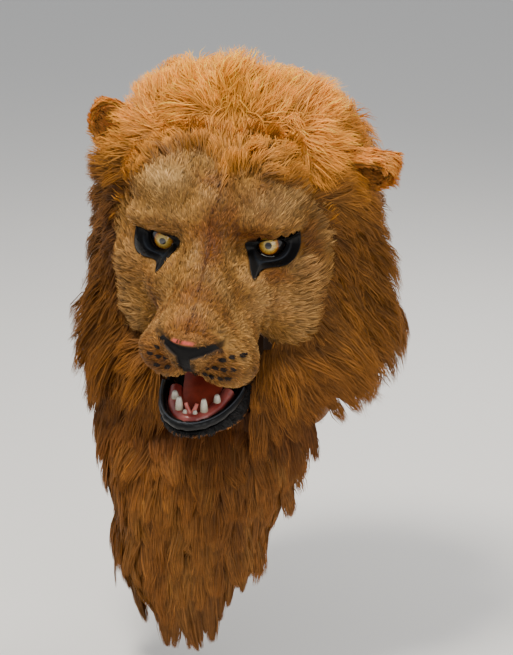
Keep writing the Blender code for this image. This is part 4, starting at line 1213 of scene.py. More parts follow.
    def build(self) -> None:
        """Makes the cloth backing and the hair, panel by panel."""
        side = np.degrees(self.turns)
        low = self.levels <= self.crown_level
        behind = np.abs(side) >= self.back_turn
        sector = {
            "mane_crown": ~low,
            "mane_left": low & ~behind & (side < 0),
            "mane_right": low & ~behind & (side >= 0),
            "mane_back": low & behind,
        }
        for name, inside in sector.items():
            grown = inside.copy()
            grown[1:] |= inside[:-1]
            grown[:-1] |= inside[1:]
            grown[:, 1:] |= inside[:, :-1]
            grown[:, :-1] |= inside[:, 1:]
            patch = Skin(self.skin.points, HEAD_HEART, keep=self.skin.keep & grown)
            cloth = patch.backing(name + "_cloth", self.back_tint, self.cloth_sink, self.cloth_wall)
            place_piece(cloth, FUR_BACKING, "mane_fur", name)
            hair = MANE_COATS[name].grow(name + "_hair", patch, self.flow, self.tint, self.length, self.lift)
            place_piece(hair, LONG_HAIR, "mane_fur")


# Bib


@dataclass(frozen=True)
class BibLine:
    """One level line of the bib, from the throat to the hem."""

    z: float
    left: float
    right: float
    y_middle: float
    y_side: float
    droop: float


BIB_COAT = Coat(count=21500, length=0.062, width=0.00115, lift=15, droop=0.05, wave=0.05, locks=300,
                gather=0.72, uneven=0.60, stray=0.17, steps=3, root_depth=0.005, seed=41, root_tone=0.62,
                quick_share=0.35)
HEM_LOCKS = replace(BIB_COAT, count=4200, length=0.064, lift=9, wave=0.03, locks=26, gather=0.95, uneven=0.45,
                    stray=0.10, root_depth=0.004, seed=43, root_tone=0.9)


@dataclass
class Bib:
    """The bib of long fur that hangs from the throat over the chest.

    Attributes:
        lines: its level lines, from the throat down.
        wall: how far the hair's skin stands in front of those lines.
        rounding: power by which its sides curve back.
        hem_spread: how much wider it is at the hem than those lines.
        hem_band: how far above the hem the hem's locks start.
        cloth_sink: how far the cloth lies under the hair's skin.
        cloth_wall: how thick the cloth is.
    """

    lines: tuple[BibLine, ...] = (
        BibLine(-0.305, -0.150, 0.110, -0.0952, -0.070, 0.012),
        BibLine(-0.345, -0.150, 0.098, -0.118, -0.066, 0.006),
        BibLine(-0.385, -0.143, 0.085, -0.130, -0.068, 0.000),
        BibLine(-0.425, -0.132, 0.068, -0.134, -0.070, -0.006),
        BibLine(-0.465, -0.121, 0.049, -0.134, -0.080, -0.016),
        BibLine(-0.500, -0.104, 0.031, -0.132, -0.092, -0.028),
        BibLine(-0.526, -0.086, 0.014, -0.128, -0.102, -0.038),
    )
    wall: float = 0.010
    rounding: float = 3.2
    hem_spread: float = 0.24
    hem_band: float = 0.034
    cloth_sink: float = 0.006
    cloth_wall: float = 0.003
    skin: Skin = field(init=False)

    def __post_init__(self) -> None:
        """Works out the bib's skin."""
        s = np.linspace(-1, 1, 56)[None, :]
        z = np.linspace(self.lines[0].z + 0.012, self.lines[-1].z, 60)[:, None]
        keys = [line.z for line in self.lines]

        def read(name: str) -> Array:
            """One named column at the heights z."""
            return curve_value(keys, [getattr(line, name) for line in self.lines], z)

        left, right = read("left"), read("right")
        x = (left + right) / 2 + s * (right - left) / 2 * (1 + self.hem_spread * ramp(z, -0.42, -0.10))
        y = read("y_middle") + (read("y_side") - read("y_middle")) * np.abs(s) ** self.rounding - self.wall
        points = np.stack(np.broadcast_arrays(x, y, z - read("droop") * s**2), axis=-1)
        self.skin = Skin(points, np.array([0, 0.3, -0.40]))

    def flow(self, points: Array) -> Array:
        """Way the hair lies: down, fanning out a little from the middle."""
        x, _, z = axes(points)
        spread = (x + 0.034) * (1.2 + 3.4 * ramp(z, -0.42, -0.10))
        way = np.stack(np.broadcast_arrays(spread, -0.10, -1.0), axis=-1)
        return unit(way) + swirl(points, 0.05, 23) * 0.16

    def tint(self, points: Array) -> Array:
        """Colour: painted shade under the jaw, brown below with paler streaks that run down."""
        streak = lattice(points * np.array([1, 1, 0.12]), 0.008, 31)
        colour = mix(INK.bib, INK.bib_pale, np.clip(streak, 0, 1) * 0.5)
        # Painted shade under the jaw
        shade = ramp(points[..., 2], -0.345, 0.04)
        colour = mix(colour, INK.bib_dark, shade * 0.7)
        return mix(colour, INK.bib_dark, np.clip(lattice(points, 0.03, 33), 0, 1) * 0.5)

    def hem_tint(self, points: Array) -> Array:
        """Colour of the hem's locks: the bib's, darker towards the bottom."""
        return mix(self.tint(points), INK.bib_tip, 0.30 + 0.45 * ramp(points[..., 2], -0.520, -0.04))

    def length(self, points: Array) -> Array:
        """Share of the full length: longest at the hem."""
        low = ramp(points[..., 2], -0.44, -0.09)
        ragged = lattice(points * np.array([1, 1, 0.1]), 0.013, 35)
        return 0.60 - 0.10 * low + 0.40 * np.clip(ragged, -0.7, 1) * low

    def build(self) -> None:
        """Makes the bib's cloth and hair."""
        cloth = self.skin.backing("bib_cloth", lambda p: self.tint(p) * 0.4, self.cloth_sink, self.cloth_wall)
        place_piece(cloth, FUR_BACKING, "bib_fur", "bib")
        hair = BIB_COAT.grow("bib_hair", self.skin, self.flow, self.tint, self.length)
        place_piece(hair, LONG_HAIR, "bib_fur")
        points = self.skin.points
        depth = points[-1:, :, 2] - points[..., 2]
        hem = Skin(points, self.skin.heart, keep=depth > -self.hem_band)
        place_piece(HEM_LOCKS.grow("bib_hem_locks", hem, self.flow, self.hem_tint), LONG_HAIR, "bib_fur")


# Face


# The black patch about an eye, (away from the nose, up), from its outer corner over the top
LID_PATCH = (
    (0.0300, 0.0030), (0.0300, 0.0150), (0.0275, 0.0185), (0.0200, 0.0130), (0.0110, 0.0090),
    (-0.0010, 0.0062), (-0.0150, 0.0045), (-0.0270, 0.0050), (-0.0255, -0.0010), (-0.0220, -0.0100),
    (-0.0210, -0.0200), (-0.0175, -0.0280), (-0.0140, -0.0210), (-0.0090, -0.0180), (0.0020, -0.0178),
    (0.0140, -0.0165), (0.0220, -0.0115), (0.0275, -0.0040),
)


@dataclass(frozen=True)
class EyePlace:
    """One eye: its side, where it looks, and the frame that its lids lie in."""

    side: int
    gaze: tuple[float, float, float]
    centre_x: float = 0.0575
    centre_y: float = -0.0815
    centre_z: float = -0.106
    turn: float = 16.0
    radius: float = 0.0185
    lid_wall: float = 0.003
    slot_half_width: float = 0.0165
    slot_up: float = 0.0078
    slot_down: float = 0.0125
    slot_tilt: float = 9.0

    @property
    def word(self) -> str:
        """left or right, as the viewer sees it."""
        return "left" if self.side < 0 else "right"

    def frame(self) -> tuple[Array, Array, Array, Array]:
        """Centre, sideways, forward and upward directions."""
        angle = math.radians(self.turn)
        centre = np.array([self.side * self.centre_x, self.centre_y, self.centre_z])
        forward = np.array([self.side * math.sin(angle), -math.cos(angle), 0.0])
        sideways = np.array([math.cos(angle), self.side * math.sin(angle), 0.0])
        return centre, sideways, forward, UP

    def slot_outline(self, angle: Array) -> Array:
        """The lids' slot, an almond, as (sideways, up) pairs; angle 0 points away from the nose."""
        across = self.slot_half_width * np.cos(angle)
        height = np.where(np.sin(angle) > 0, self.slot_up, self.slot_down)
        up = height * signed_power(np.sin(angle), 1.25)
        tilt = math.radians(self.slot_tilt)
        turned = across * math.cos(tilt) - up * math.sin(tilt)
        return np.stack([self.side * turned, across * math.sin(tilt) + up * math.cos(tilt)], axis=-1)

    def patch_outline(self, steps: int, grow: float = 0.0) -> Array:
        """The black patch's outline as (sideways, up) pairs, grown outwards."""
        corners = np.array(LID_PATCH + LID_PATCH[:1])
        flat = resample(rounded(corners), steps + 1)[:-1] * np.array([self.side, 1])
        return flat + grow * unit(flat)

    def flat(self, points: Array) -> Array:
        """Points as (sideways, up) pairs on the eye's frontal plane."""
        centre, sideways, _, upward = self.frame()
        away = points - centre
        return np.stack([away @ sideways, away @ upward], axis=-1)


EYES = (EyePlace(-1, (-0.010, -0.992, -0.127)), EyePlace(1, (0.120, -0.992, 0.043)))


FACE_COAT = Coat(count=26000, length=0.0085, width=0.00085, lift=26, droop=0.0, wave=0.0, locks=2600,
                 gather=0.5, stray=0.20, steps=2, root_depth=0.0006, seed=61, contrast=0.26)
FORELOCK_COAT = Coat(count=4500, length=0.034, width=0.0010, lift=30, wave=0.06, locks=110, uneven=0.4,
                     stray=0.25, steps=3, root_depth=0.001, seed=67)
SPOT_HAIRS = 34
SPOT_RADIUS = 0.0019
SPOT_STRETCH = (1.25, 0.8)
SPOT_COAT = Coat(count=SPOT_HAIRS, length=0.0050, width=0.0011, lift=30, droop=0.0, wave=0.0, steps=2,
                 root_depth=-0.0010, seed=71, contrast=0.1)
SHELL_SINK = 0.0006
SHELL_WALL = 0.0034


@dataclass
class FaceFur:
    """The face: a thin shell covered with short fur, open at the eyes."""

    columns: int = 120
    rows: int = 92
    skin: Skin = field(init=False)

    def __post_init__(self) -> None:
        """Works out the face's skin."""
        grid = self.grid()
        keep = self.patch_distance(grid) > -0.0018
        self.skin = Skin(grid, FACE_HEART, keep=keep)

    def patch_distance(self, points: Array) -> Array:
        """Distance outside the nearer eye's black patch, negative within it."""
        nearest = np.full(points.shape[:-1], 0.1)
        for eye in EYES:
            outline = eye.patch_outline(96)
            flat = eye.flat(points)
            front = (np.linalg.norm(flat, axis=-1) < 0.060) & (points[..., 1] < -0.06)
            away = outline_distance(flat[front], outline)
            away = np.where(inside_outline(flat[front], outline), -away, away)
            nearest[front] = np.minimum(nearest[front], away)
        return nearest

    def chart(self, points: Array) -> Array:
        """Directions from the face's heart as two angles: sideways and upwards."""
        x, y, z = axes(points - FACE_HEART)
        return np.stack([np.arctan2(x, -y), np.arctan2(z, -y)], axis=-1)

    def rim_points(self, chain: Array) -> Array:
        """The fur edge seated on the hood's outer side."""
        away = chain - np.array([0.0, -0.125])
        chain = chain - unit(away) * 0.0006
        return np.stack([chain[:, 0], HOOD.front_depth(chain[:, 0], chain[:, 1]), chain[:, 1]], axis=1)

    def grid(self) -> Array:
        """Points of the face: the fur edge and the free lip edge carried inwards, then cast on the form."""
        chain = rim_chain()
        corner = len(RIM) - 1 - RIM_CORNER
        top = resample(rounded(chain[corner:len(chain) - corner]), self.columns + 1)
        right = resample(rounded(chain[len(chain) - 1 - corner:]), self.rows + 1)
        right_lip = np.array(UPPER_LIP)
        left_lip = right_lip[-2::-1] * np.array([-1, 1, 1])
        lip = resample(rounded(np.concatenate([right_lip, left_lip])[::-1]), self.columns + 1)
        share = FACE.muzzle_share(lip[:, 1])
        lip[:, 2] -= FACE.muzzle_roll * lip[:, 0] * share
        lip[:, 0] += FACE.muzzle_shift * share
        top_rim, right_rim = self.rim_points(top), self.rim_points(right)
        left_rim = right_rim * np.array([-1, 1, 1])
        up, down, east, west = map(self.chart, (top_rim, lip, right_rim, left_rim))
        s = np.linspace(0, 1, self.columns + 1)[None, :, None]
        t = np.linspace(0, 1, self.rows + 1)[:, None, None]
        blend = (
            (1 - t) * up[None] + t * down[None] + (1 - s) * west[:, None] + s * east[:, None]
            - (1 - t) * ((1 - s) * up[0] + s * up[-1]) - t * ((1 - s) * down[0] + s * down[-1])
        )
        way = np.stack([np.tan(blend[..., 0]), -np.ones(blend.shape[:-1]), np.tan(blend[..., 1])], -1)
        points = FACE.cast(way)
        points[0], points[:, 0], points[:, -1] = top_rim, left_rim, right_rim
        return points

    def flow(self, points: Array) -> Array:
        """Way the short fur lies: away from the nose tip."""
        way = unit(points - np.array([0.0, -0.215, -0.192]))
        return way + swirl(points, 0.03, 43) * 0.25

    def tint(self, points: Array) -> Array:
        """Colour: tan, with rust patches, spots (painted lobe highlights and brow shade among them), a dark
        seam down the middle and black about the eyes.
        """
        x, z = points[..., 0], points[..., 2]
        colour = np.broadcast_to(INK.face, (*points.shape[:-1], 3)).copy()
        for spot in FACE_SPOTS:
            away = ((x - spot.x) / spot.wide) ** 2 + ((z - spot.z) / spot.tall) ** 2
            colour = mix(colour, linear(*spot.colour), np.exp(-away * 1.2) * spot.strength)
        patch = lattice(points, 0.016, 53)
        colour = mix(colour, INK.face_rust, np.clip(patch, 0, 1) * 0.65)
        colour = mix(colour, INK.face_pale, np.clip(-patch, 0, 1) * 0.45)
        seam = bell(x, np.interp(-z, SEAM_DOWN, SEAM_ACROSS), 0.0014)
        seam = seam * ramp(z, -0.178, 0.01) * ramp(z, -0.030, -0.01)
        colour = mix(colour, linear(70, 34, 12), seam * 0.75)
        rim = np.maximum(ramp(self.patch_distance(points), 0.0035, -0.0035),
                         0.85 * ramp(Nose.mark_distance(points), 0.0045, -0.0045))
        colour = mix(colour, INK.black, rim)
        return colour * (1 + 0.22 * lattice(points, 0.005, 57))[..., None]

    def length(self, points: Array) -> Array:
        """Share of the full length: short beside the black patches, longer on the cheeks."""
        patch = ease(self.patch_distance(points) / 0.012)
        beside = ramp(np.abs(points[..., 0]), 0.072, 0.030)
        return (0.45 + 0.55 * patch) * (1 + 1.5 * beside)

    def build(self) -> None:
        """Makes the shell, its fur, the forelock over the brow and the whisker spots."""
        shell = self.skin.backing("face_shell", lambda p: self.tint(p) * 0.7, SHELL_SINK, SHELL_WALL)
        place_piece(shell, SKIN_BACKING, "short_fur", "face")
        points = self.skin.points
        bare = (self.patch_distance(points) < 0.0016) | (Nose.mark_distance(points) < 0.001)
        furred = Skin(points, FACE_HEART, keep=~bare)
        fur = FACE_COAT.grow("face_fur", furred, self.flow, self.tint, self.length)
        place_piece(fur, SHORT_HAIR, "short_fur")
        self.build_forelock()
        self.build_spots()

    def build_forelock(self) -> None:
        """The mane's hair that comes down between and over the forehead lobes."""
        across, height = np.array(HAIRLINE).T
        points = self.skin.points
        keep = points[..., 2] > np.interp(points[..., 0], across, height)
        patch = Skin(points, FACE_HEART, keep=keep)

        def flow(place: Array) -> Array:
            """Way the forelock lies: up and outwards from its point."""
            way = unit(place - np.array([0.011, -0.150, -0.075]))
            return way + np.array([0, 0, 0.3]) + swirl(place, 0.02, 61) * 0.5

        def tint(place: Array) -> Array:
            """Colour: the crown's gold, with painted shade where it starts."""
            start = np.interp(place[..., 0], across, height)
            gold = mix(INK.crown, INK.mane, np.full(len(place), 0.45))
            # Painted shade where the forelock comes out at the hairline
            return mix(gold, INK.mane_shade, ease((start + 0.012 - place[..., 2]) / 0.012) * 0.6)

        place_piece(FORELOCK_COAT.grow("forelock", patch, flow, tint), LONG_HAIR, "mane_fur")

    def build_spots(self) -> None:
        """The rows of black whisker spots, each a tuft of short black hairs."""
        rng = np.random.default_rng(69)
        spots = np.array(WHISKER_SPOTS)
        shape = (len(spots), SPOT_HAIRS)
        turn = rng.random(shape) * 2 * np.pi
        away = SPOT_RADIUS * np.sqrt(rng.random(shape))
        x = (spots[:, :1] + away * np.cos(turn) * SPOT_STRETCH[0]).ravel()
        z = (spots[:, 1:] + away * np.sin(turn) * SPOT_STRETCH[1]).ravel()
        root = FACE.front(x, z)
        across = FACE.front(x + 0.001, z) - root
        upward = FACE.front(x, z + 0.001) - root
        normal = unit(np.cross(across, upward))
        normal = normal * np.sign(-normal[:, 1:2])

        def tint(points: Array) -> Array:
            """Colour: near black."""
            return np.broadcast_to(linear(38, 27, 20), points.shape)

        mesh = SPOT_COAT.tuft("whisker_spots", root, normal, self.flow(root), tint)
        place_piece(mesh, SHORT_HAIR, "short_fur")


@dataclass(frozen=True)
class Spot:
    """A patch of colour on the face, seen from the front; among them are painted highlights and painted
    shade.
    """

    x: float
    z: float
    wide: float
    tall: float
    colour: tuple[int, int, int]
    strength: float


FACE_SPOTS = (
    # Painted highlights on the tops of the two forehead lobes
    Spot(-0.050, -0.036, 0.030, 0.016, (214, 172, 112), 0.8),
    Spot(0.060, -0.058, 0.032, 0.018, (228, 178, 112), 0.9),
    # Painted shade under the brows, above the eyes
    Spot(0.042, -0.090, 0.034, 0.010, (112, 58, 18), 0.8),
    Spot(-0.045, -0.088, 0.030, 0.010, (124, 68, 22), 0.7),
    Spot(0.074, -0.134, 0.026, 0.010, (116, 60, 18), 0.8),
    Spot(0.074, -0.165, 0.028, 0.024, (210, 158, 94), 0.8),
    Spot(0.100, -0.110, 0.010, 0.040, (122, 66, 22), 0.5),
    Spot(-0.090, -0.120, 0.014, 0.040, (140, 92, 44), 0.5),
    Spot(-0.070, -0.142, 0.022, 0.014, (138, 84, 34), 0.5),
    Spot(0.010, -0.085, 0.022, 0.055, (110, 64, 26), 0.9),
    Spot(0.004, -0.160, 0.026, 0.024, (146, 86, 36), 0.7),
    Spot(0.000, -0.196, 0.055, 0.012, (118, 66, 24), 0.5),
    Spot(0.044, -0.212, 0.034, 0.012, (112, 64, 24), 0.6),
    Spot(-0.036, -0.212, 0.030, 0.012, (104, 58, 22), 0.7),
    Spot(-0.045, -0.175, 0.020, 0.030, (140, 90, 44), 0.5),
)
SEAM_DOWN = (0.018, 0.052, 0.072, 0.127, 0.154, 0.175)
SEAM_ACROSS = (-0.0048, 0.0114, 0.0055, 0.0064, 0.0054, 0.0042)
# Where the long hair starts on the forehead, as (x, z)
HAIRLINE = (
    (-0.110, -0.090), (-0.088, -0.052), (-0.071, -0.030), (-0.053, -0.018), (-0.034, -0.014),
    (-0.012, -0.020), (0.002, -0.040), (0.010, -0.054), (0.018, -0.040), (0.033, -0.033), (0.055, -0.031),
    (0.074, -0.038), (0.091, -0.053), (0.102, -0.071), (0.110, -0.092),
)
# Centres of the whisker spots, as (x, z)
WHISKER_SPOTS = (
    (0.0243, -0.1956), (0.0318, -0.1949), (0.0393, -0.1974), (0.0482, -0.1955), (0.0568, -0.1955),
    (0.0179, -0.2026), (0.0237, -0.2048), (0.0327, -0.2046), (0.0414, -0.2064), (0.0495, -0.2068),
    (0.0215, -0.2127), (0.0286, -0.2146), (0.0375, -0.2161), (0.0451, -0.2160),
    (-0.0273, -0.1899), (-0.0173, -0.1918), (-0.0349, -0.1969), (-0.0250, -0.1980), (-0.0156, -0.1984),
    (-0.0084, -0.1997), (-0.0271, -0.2071), (-0.0167, -0.2082),
)


@dataclass
class Eyes:
    """The eyeballs with their irises, and the black rubber lids round them."""

    iris: float = 0.0108
    pupil: float = 0.0036
    lid_columns: int = 120
    lid_rings: int = 20
    lid_thickness: float = 0.0022
    roll_height: float = 0.0022
    margin_depths: tuple[float, float] = (0.0026, 0.0008)

    def ball_tint(self, radius: Array, turn: Array) -> Array:
        """Colour by the distance from the gaze: pupil, pale yellow, olive, orange-brown edge, dark white."""
        keys = [0, 0.92 * self.pupil, 1.10 * self.pupil, 0.55 * self.iris, 0.80 * self.iris, 0.93 * self.iris,
                1.0 * self.iris, 1.08 * self.iris, 0.020]
        tones = np.array([linear(14, 10, 7), linear(20, 13, 8), linear(214, 186, 104), linear(206, 168, 76),
                          linear(190, 136, 50), linear(150, 84, 26), linear(50, 30, 16), linear(30, 26, 24),
                          linear(26, 24, 24)])
        colour = np.stack([np.interp(radius, keys, tones[:, k]) for k in range(3)], axis=-1)
        ray = 1 + 0.22 * np.sin(turn * 41 + 2 * np.sin(turn * 7)) * ease((radius - self.pupil) / 0.003)
        return colour * ray[..., None]

    def build_ball(self, eye: EyePlace) -> None:
        """A domed eye whose rings run about its gaze.

        Args:
            eye: which eye.
        """
        centre = eye.frame()[0]
        gaze = unit(np.array(eye.gaze))
        across = unit(np.cross(gaze, UP))
        up = np.cross(across, gaze)
        angle = np.concatenate([np.linspace(0.001, 0.80, 44), np.linspace(0.86, 3.14, 14)])[:, None, None]
        turn = np.linspace(0, 2 * np.pi, 64, endpoint=False)[None, :, None]
        bulge = 1 + 0.05 * np.exp(-((angle / 0.45) ** 4))
        way = np.cos(angle) * gaze + np.sin(angle) * (np.cos(turn) * across + np.sin(turn) * up)
        points = centre + eye.radius * bulge * way
        radius = eye.radius * np.sin(np.minimum(angle, np.pi / 2))
        tint = self.ball_tint(*np.broadcast_arrays(radius[..., 0], turn[..., 0]))
        quads = grid_quads(*points.shape[:2], ring=True)[:, ::-1]
        mesh = build_mesh(f"eyeball_{eye.word}", points.reshape(-1, 3), quads, tint.reshape(-1, 3))
        place_piece(mesh, EYE_GLASS, "eye_gloss", f"eye_{eye.word}")

    def build_lid(self, eye: EyePlace) -> None:
        """The black lid: a wall from the eyeball out to the short fur, with a roll along its margin.

        Args:
            eye: which eye.
        """
        centre, sideways, forward, upward = eye.frame()
        angle = np.linspace(0, 2 * np.pi, self.lid_columns, endpoint=False)
        slot = eye.slot_outline(angle)
        roof = eye.radius + eye.lid_wall
        rise = np.sqrt(roof**2 - np.sum(slot**2, axis=1))
        inner = centre + slot[:, :1] * sideways + slot[:, 1:] * upward + rise[:, None] * forward
        rim_flat = eye.patch_outline(len(angle), 0.0014)
        rim = centre + rim_flat[:, :1] * sideways + rim_flat[:, 1:] * upward
        outer = rim + 0.03 * forward
        for _ in range(5):
            on_face = FACE.cast((outer - FACE_HEART)[None])[0]
            outer = rim + ((on_face - rim) @ forward)[:, None] * forward
        outer = outer + 0.0008 * forward
        share = np.linspace(0, 1, self.lid_rings)[:, None, None]
        grid = inner * (1 - share) + outer * share
        out = (grid - centre) @ forward
        beside = np.linalg.norm(grid - centre - out[..., None] * forward, axis=-1)
        clear = np.sqrt(np.clip(roof**2 - beside**2, 0, None))
        grid = grid + (np.clip(clear - out, 0, None) * (beside < roof))[..., None] * forward
        low = np.clip(-np.sin(angle), 0, 1)[None, :]
        roll = bell(share[..., 0], 0.24, 0.10) * self.roll_height * (0.35 + 0.65 * low)
        grid = grid + roll[..., None] * forward
        folds = [grid[:1] - depth * forward for depth in self.margin_depths]
        margin = np.concatenate([*folds, grid])
        inside = margin[::-1] - self.lid_thickness * forward
        wall = np.concatenate([margin, inside[:-2]])
        sheen = bell(np.linspace(0, 1, len(wall)) * len(wall) / len(share), 0.34, 0.14)[:, None] * low
        tint = mix(linear(16, 15, 16), linear(48, 54, 62), sheen)
        quads = grid_quads(*wall.shape[:2], ring=True)
        if eye.side > 0:
            quads = quads[:, ::-1]
        mesh = build_mesh(f"lid_{eye.word}", wall.reshape(-1, 3), quads, tint.reshape(-1, 3))
        place_piece(mesh, BLACK_RUBBER, "lid_rubber", f"eyelid_{eye.word}")

    def build(self) -> None:
        """Makes both eyes."""
        for eye in EYES:
            self.build_ball(eye)
            self.build_lid(eye)


# Nose and mouth


NOSE_COAT = Coat(count=3000, length=0.0065, width=0.0008, lift=22, droop=0.0, wave=0.0, gather=0.4,
                 stray=0.25, steps=2, root_depth=0.0004, seed=73, contrast=0.26)
JAW_COAT = Coat(count=3500, length=0.008, width=0.0009, lift=26, wave=0.02, locks=200, gather=0.4, stray=0.2,
                steps=3, root_depth=0.0006, seed=81, quick_share=3 / 7)


@dataclass
class Nose:
    """The nose: short fur over its top, a pink strip, and black rubber in a wide V with a stem below."""

    rows: int = 72
    columns: int = 76
    depth: float = 0.0062
    seat: float = 0.0016

    @staticmethod
    def unrolled(points: Array) -> tuple[Array, Array]:
        """Sideways and upward places as they are before the muzzle's shift and roll."""
        across = points[..., 0] - FACE.muzzle_shift
        return across, points[..., 2] + FACE.muzzle_roll * across

    @staticmethod
    def mark_distance(points: Array) -> Array:
        """Distance outside the black V and its stem, negative within them."""
        across, up = Nose.unrolled(points)
        side = np.abs(across + 0.001)
        middle = -0.1885 + 0.0085 * (side / 0.032) ** 1.3
        arm = np.abs(up - middle) - np.interp(side, [0, 0.012, 0.034], [0.0062, 0.0046, 0.0018])
        arm = np.maximum(arm, side - 0.034)
        stem = np.maximum(np.maximum(np.abs(across + 0.002) - 0.0062, up + 0.187), -0.214 - up)
        mark = np.minimum(arm, stem)
        return np.where(points[..., 1] < -0.150, mark, 0.1)

    def build(self, face: FaceFur) -> None:
        """Makes the nose as a closed pad on the muzzle's end, and the fur on it.

        Args:
            face: the face, for the fur's colour and the way it lies.
        """
        t = np.linspace(0, 1, self.rows)[:, None]
        s = np.linspace(-1, 1, self.columns)[None, :]
        half = np.interp(t, [0.0, 0.22, 0.77, 1.0], [0.024, 0.034, 0.008, 0.008])
        across = s * half
        z = -0.172 - 0.046 * t - 0.006 * s**2 * (1 - t) - FACE.muzzle_roll * across
        target = np.stack(np.broadcast_arrays(across + FACE.muzzle_shift, -0.215, z), axis=-1)
        base = FACE.cast(target - FACE_HEART)
        normal = unit(np.cross(np.gradient(base, axis=1), np.gradient(base, axis=0)))
        normal = normal * np.sign(-normal[self.rows // 2, self.columns // 2, 1])
        swell = np.clip(1 - np.abs(s) ** 3, 0.2, 1) * np.clip(np.sin(np.pi * (0.12 + 0.80 * t)), 0.2, 1)
        black = ease(0.5 - self.mark_distance(base) / 0.0022)
        depth = np.maximum(self.depth * swell - 0.0034 * black, 0.0009)
        inner = base + normal * self.seat
        outer = inner + normal * depth[..., None]
        side, up = self.unrolled(base)
        pink = np.exp(-(((side + 0.0025) / 0.0115) ** 6) - (((up + 0.1792) / 0.0017) ** 4))
        pink = pink * (1 - 0.5 * np.clip(lattice(outer, 0.003, 71), 0, 1))
        tint = mix(face.tint(outer) * 0.6, linear(24, 22, 22), black)
        tint = mix(tint, linear(186, 84, 74), pink)
        mesh = close_wall("nose_pad", outer, inner, np.concatenate([tint, tint[::-1] * 0.5]))
        place_piece(mesh, NOSE_RUBBER, "nose_rubber", "nose")
        patch = Skin(outer, FACE_HEART, keep=(black < 0.35) & (pink < 0.3))
        fur = NOSE_COAT.grow("nose_fur", patch, face.flow, face.tint)
        place_piece(fur, SHORT_HAIR, "short_fur")


@dataclass(frozen=True)
class Tooth:
    """A kind of tooth on each side of the lower gum: its angle along it in degrees, its sizes in metres."""

    name: str
    along: float
    width: float
    height: float


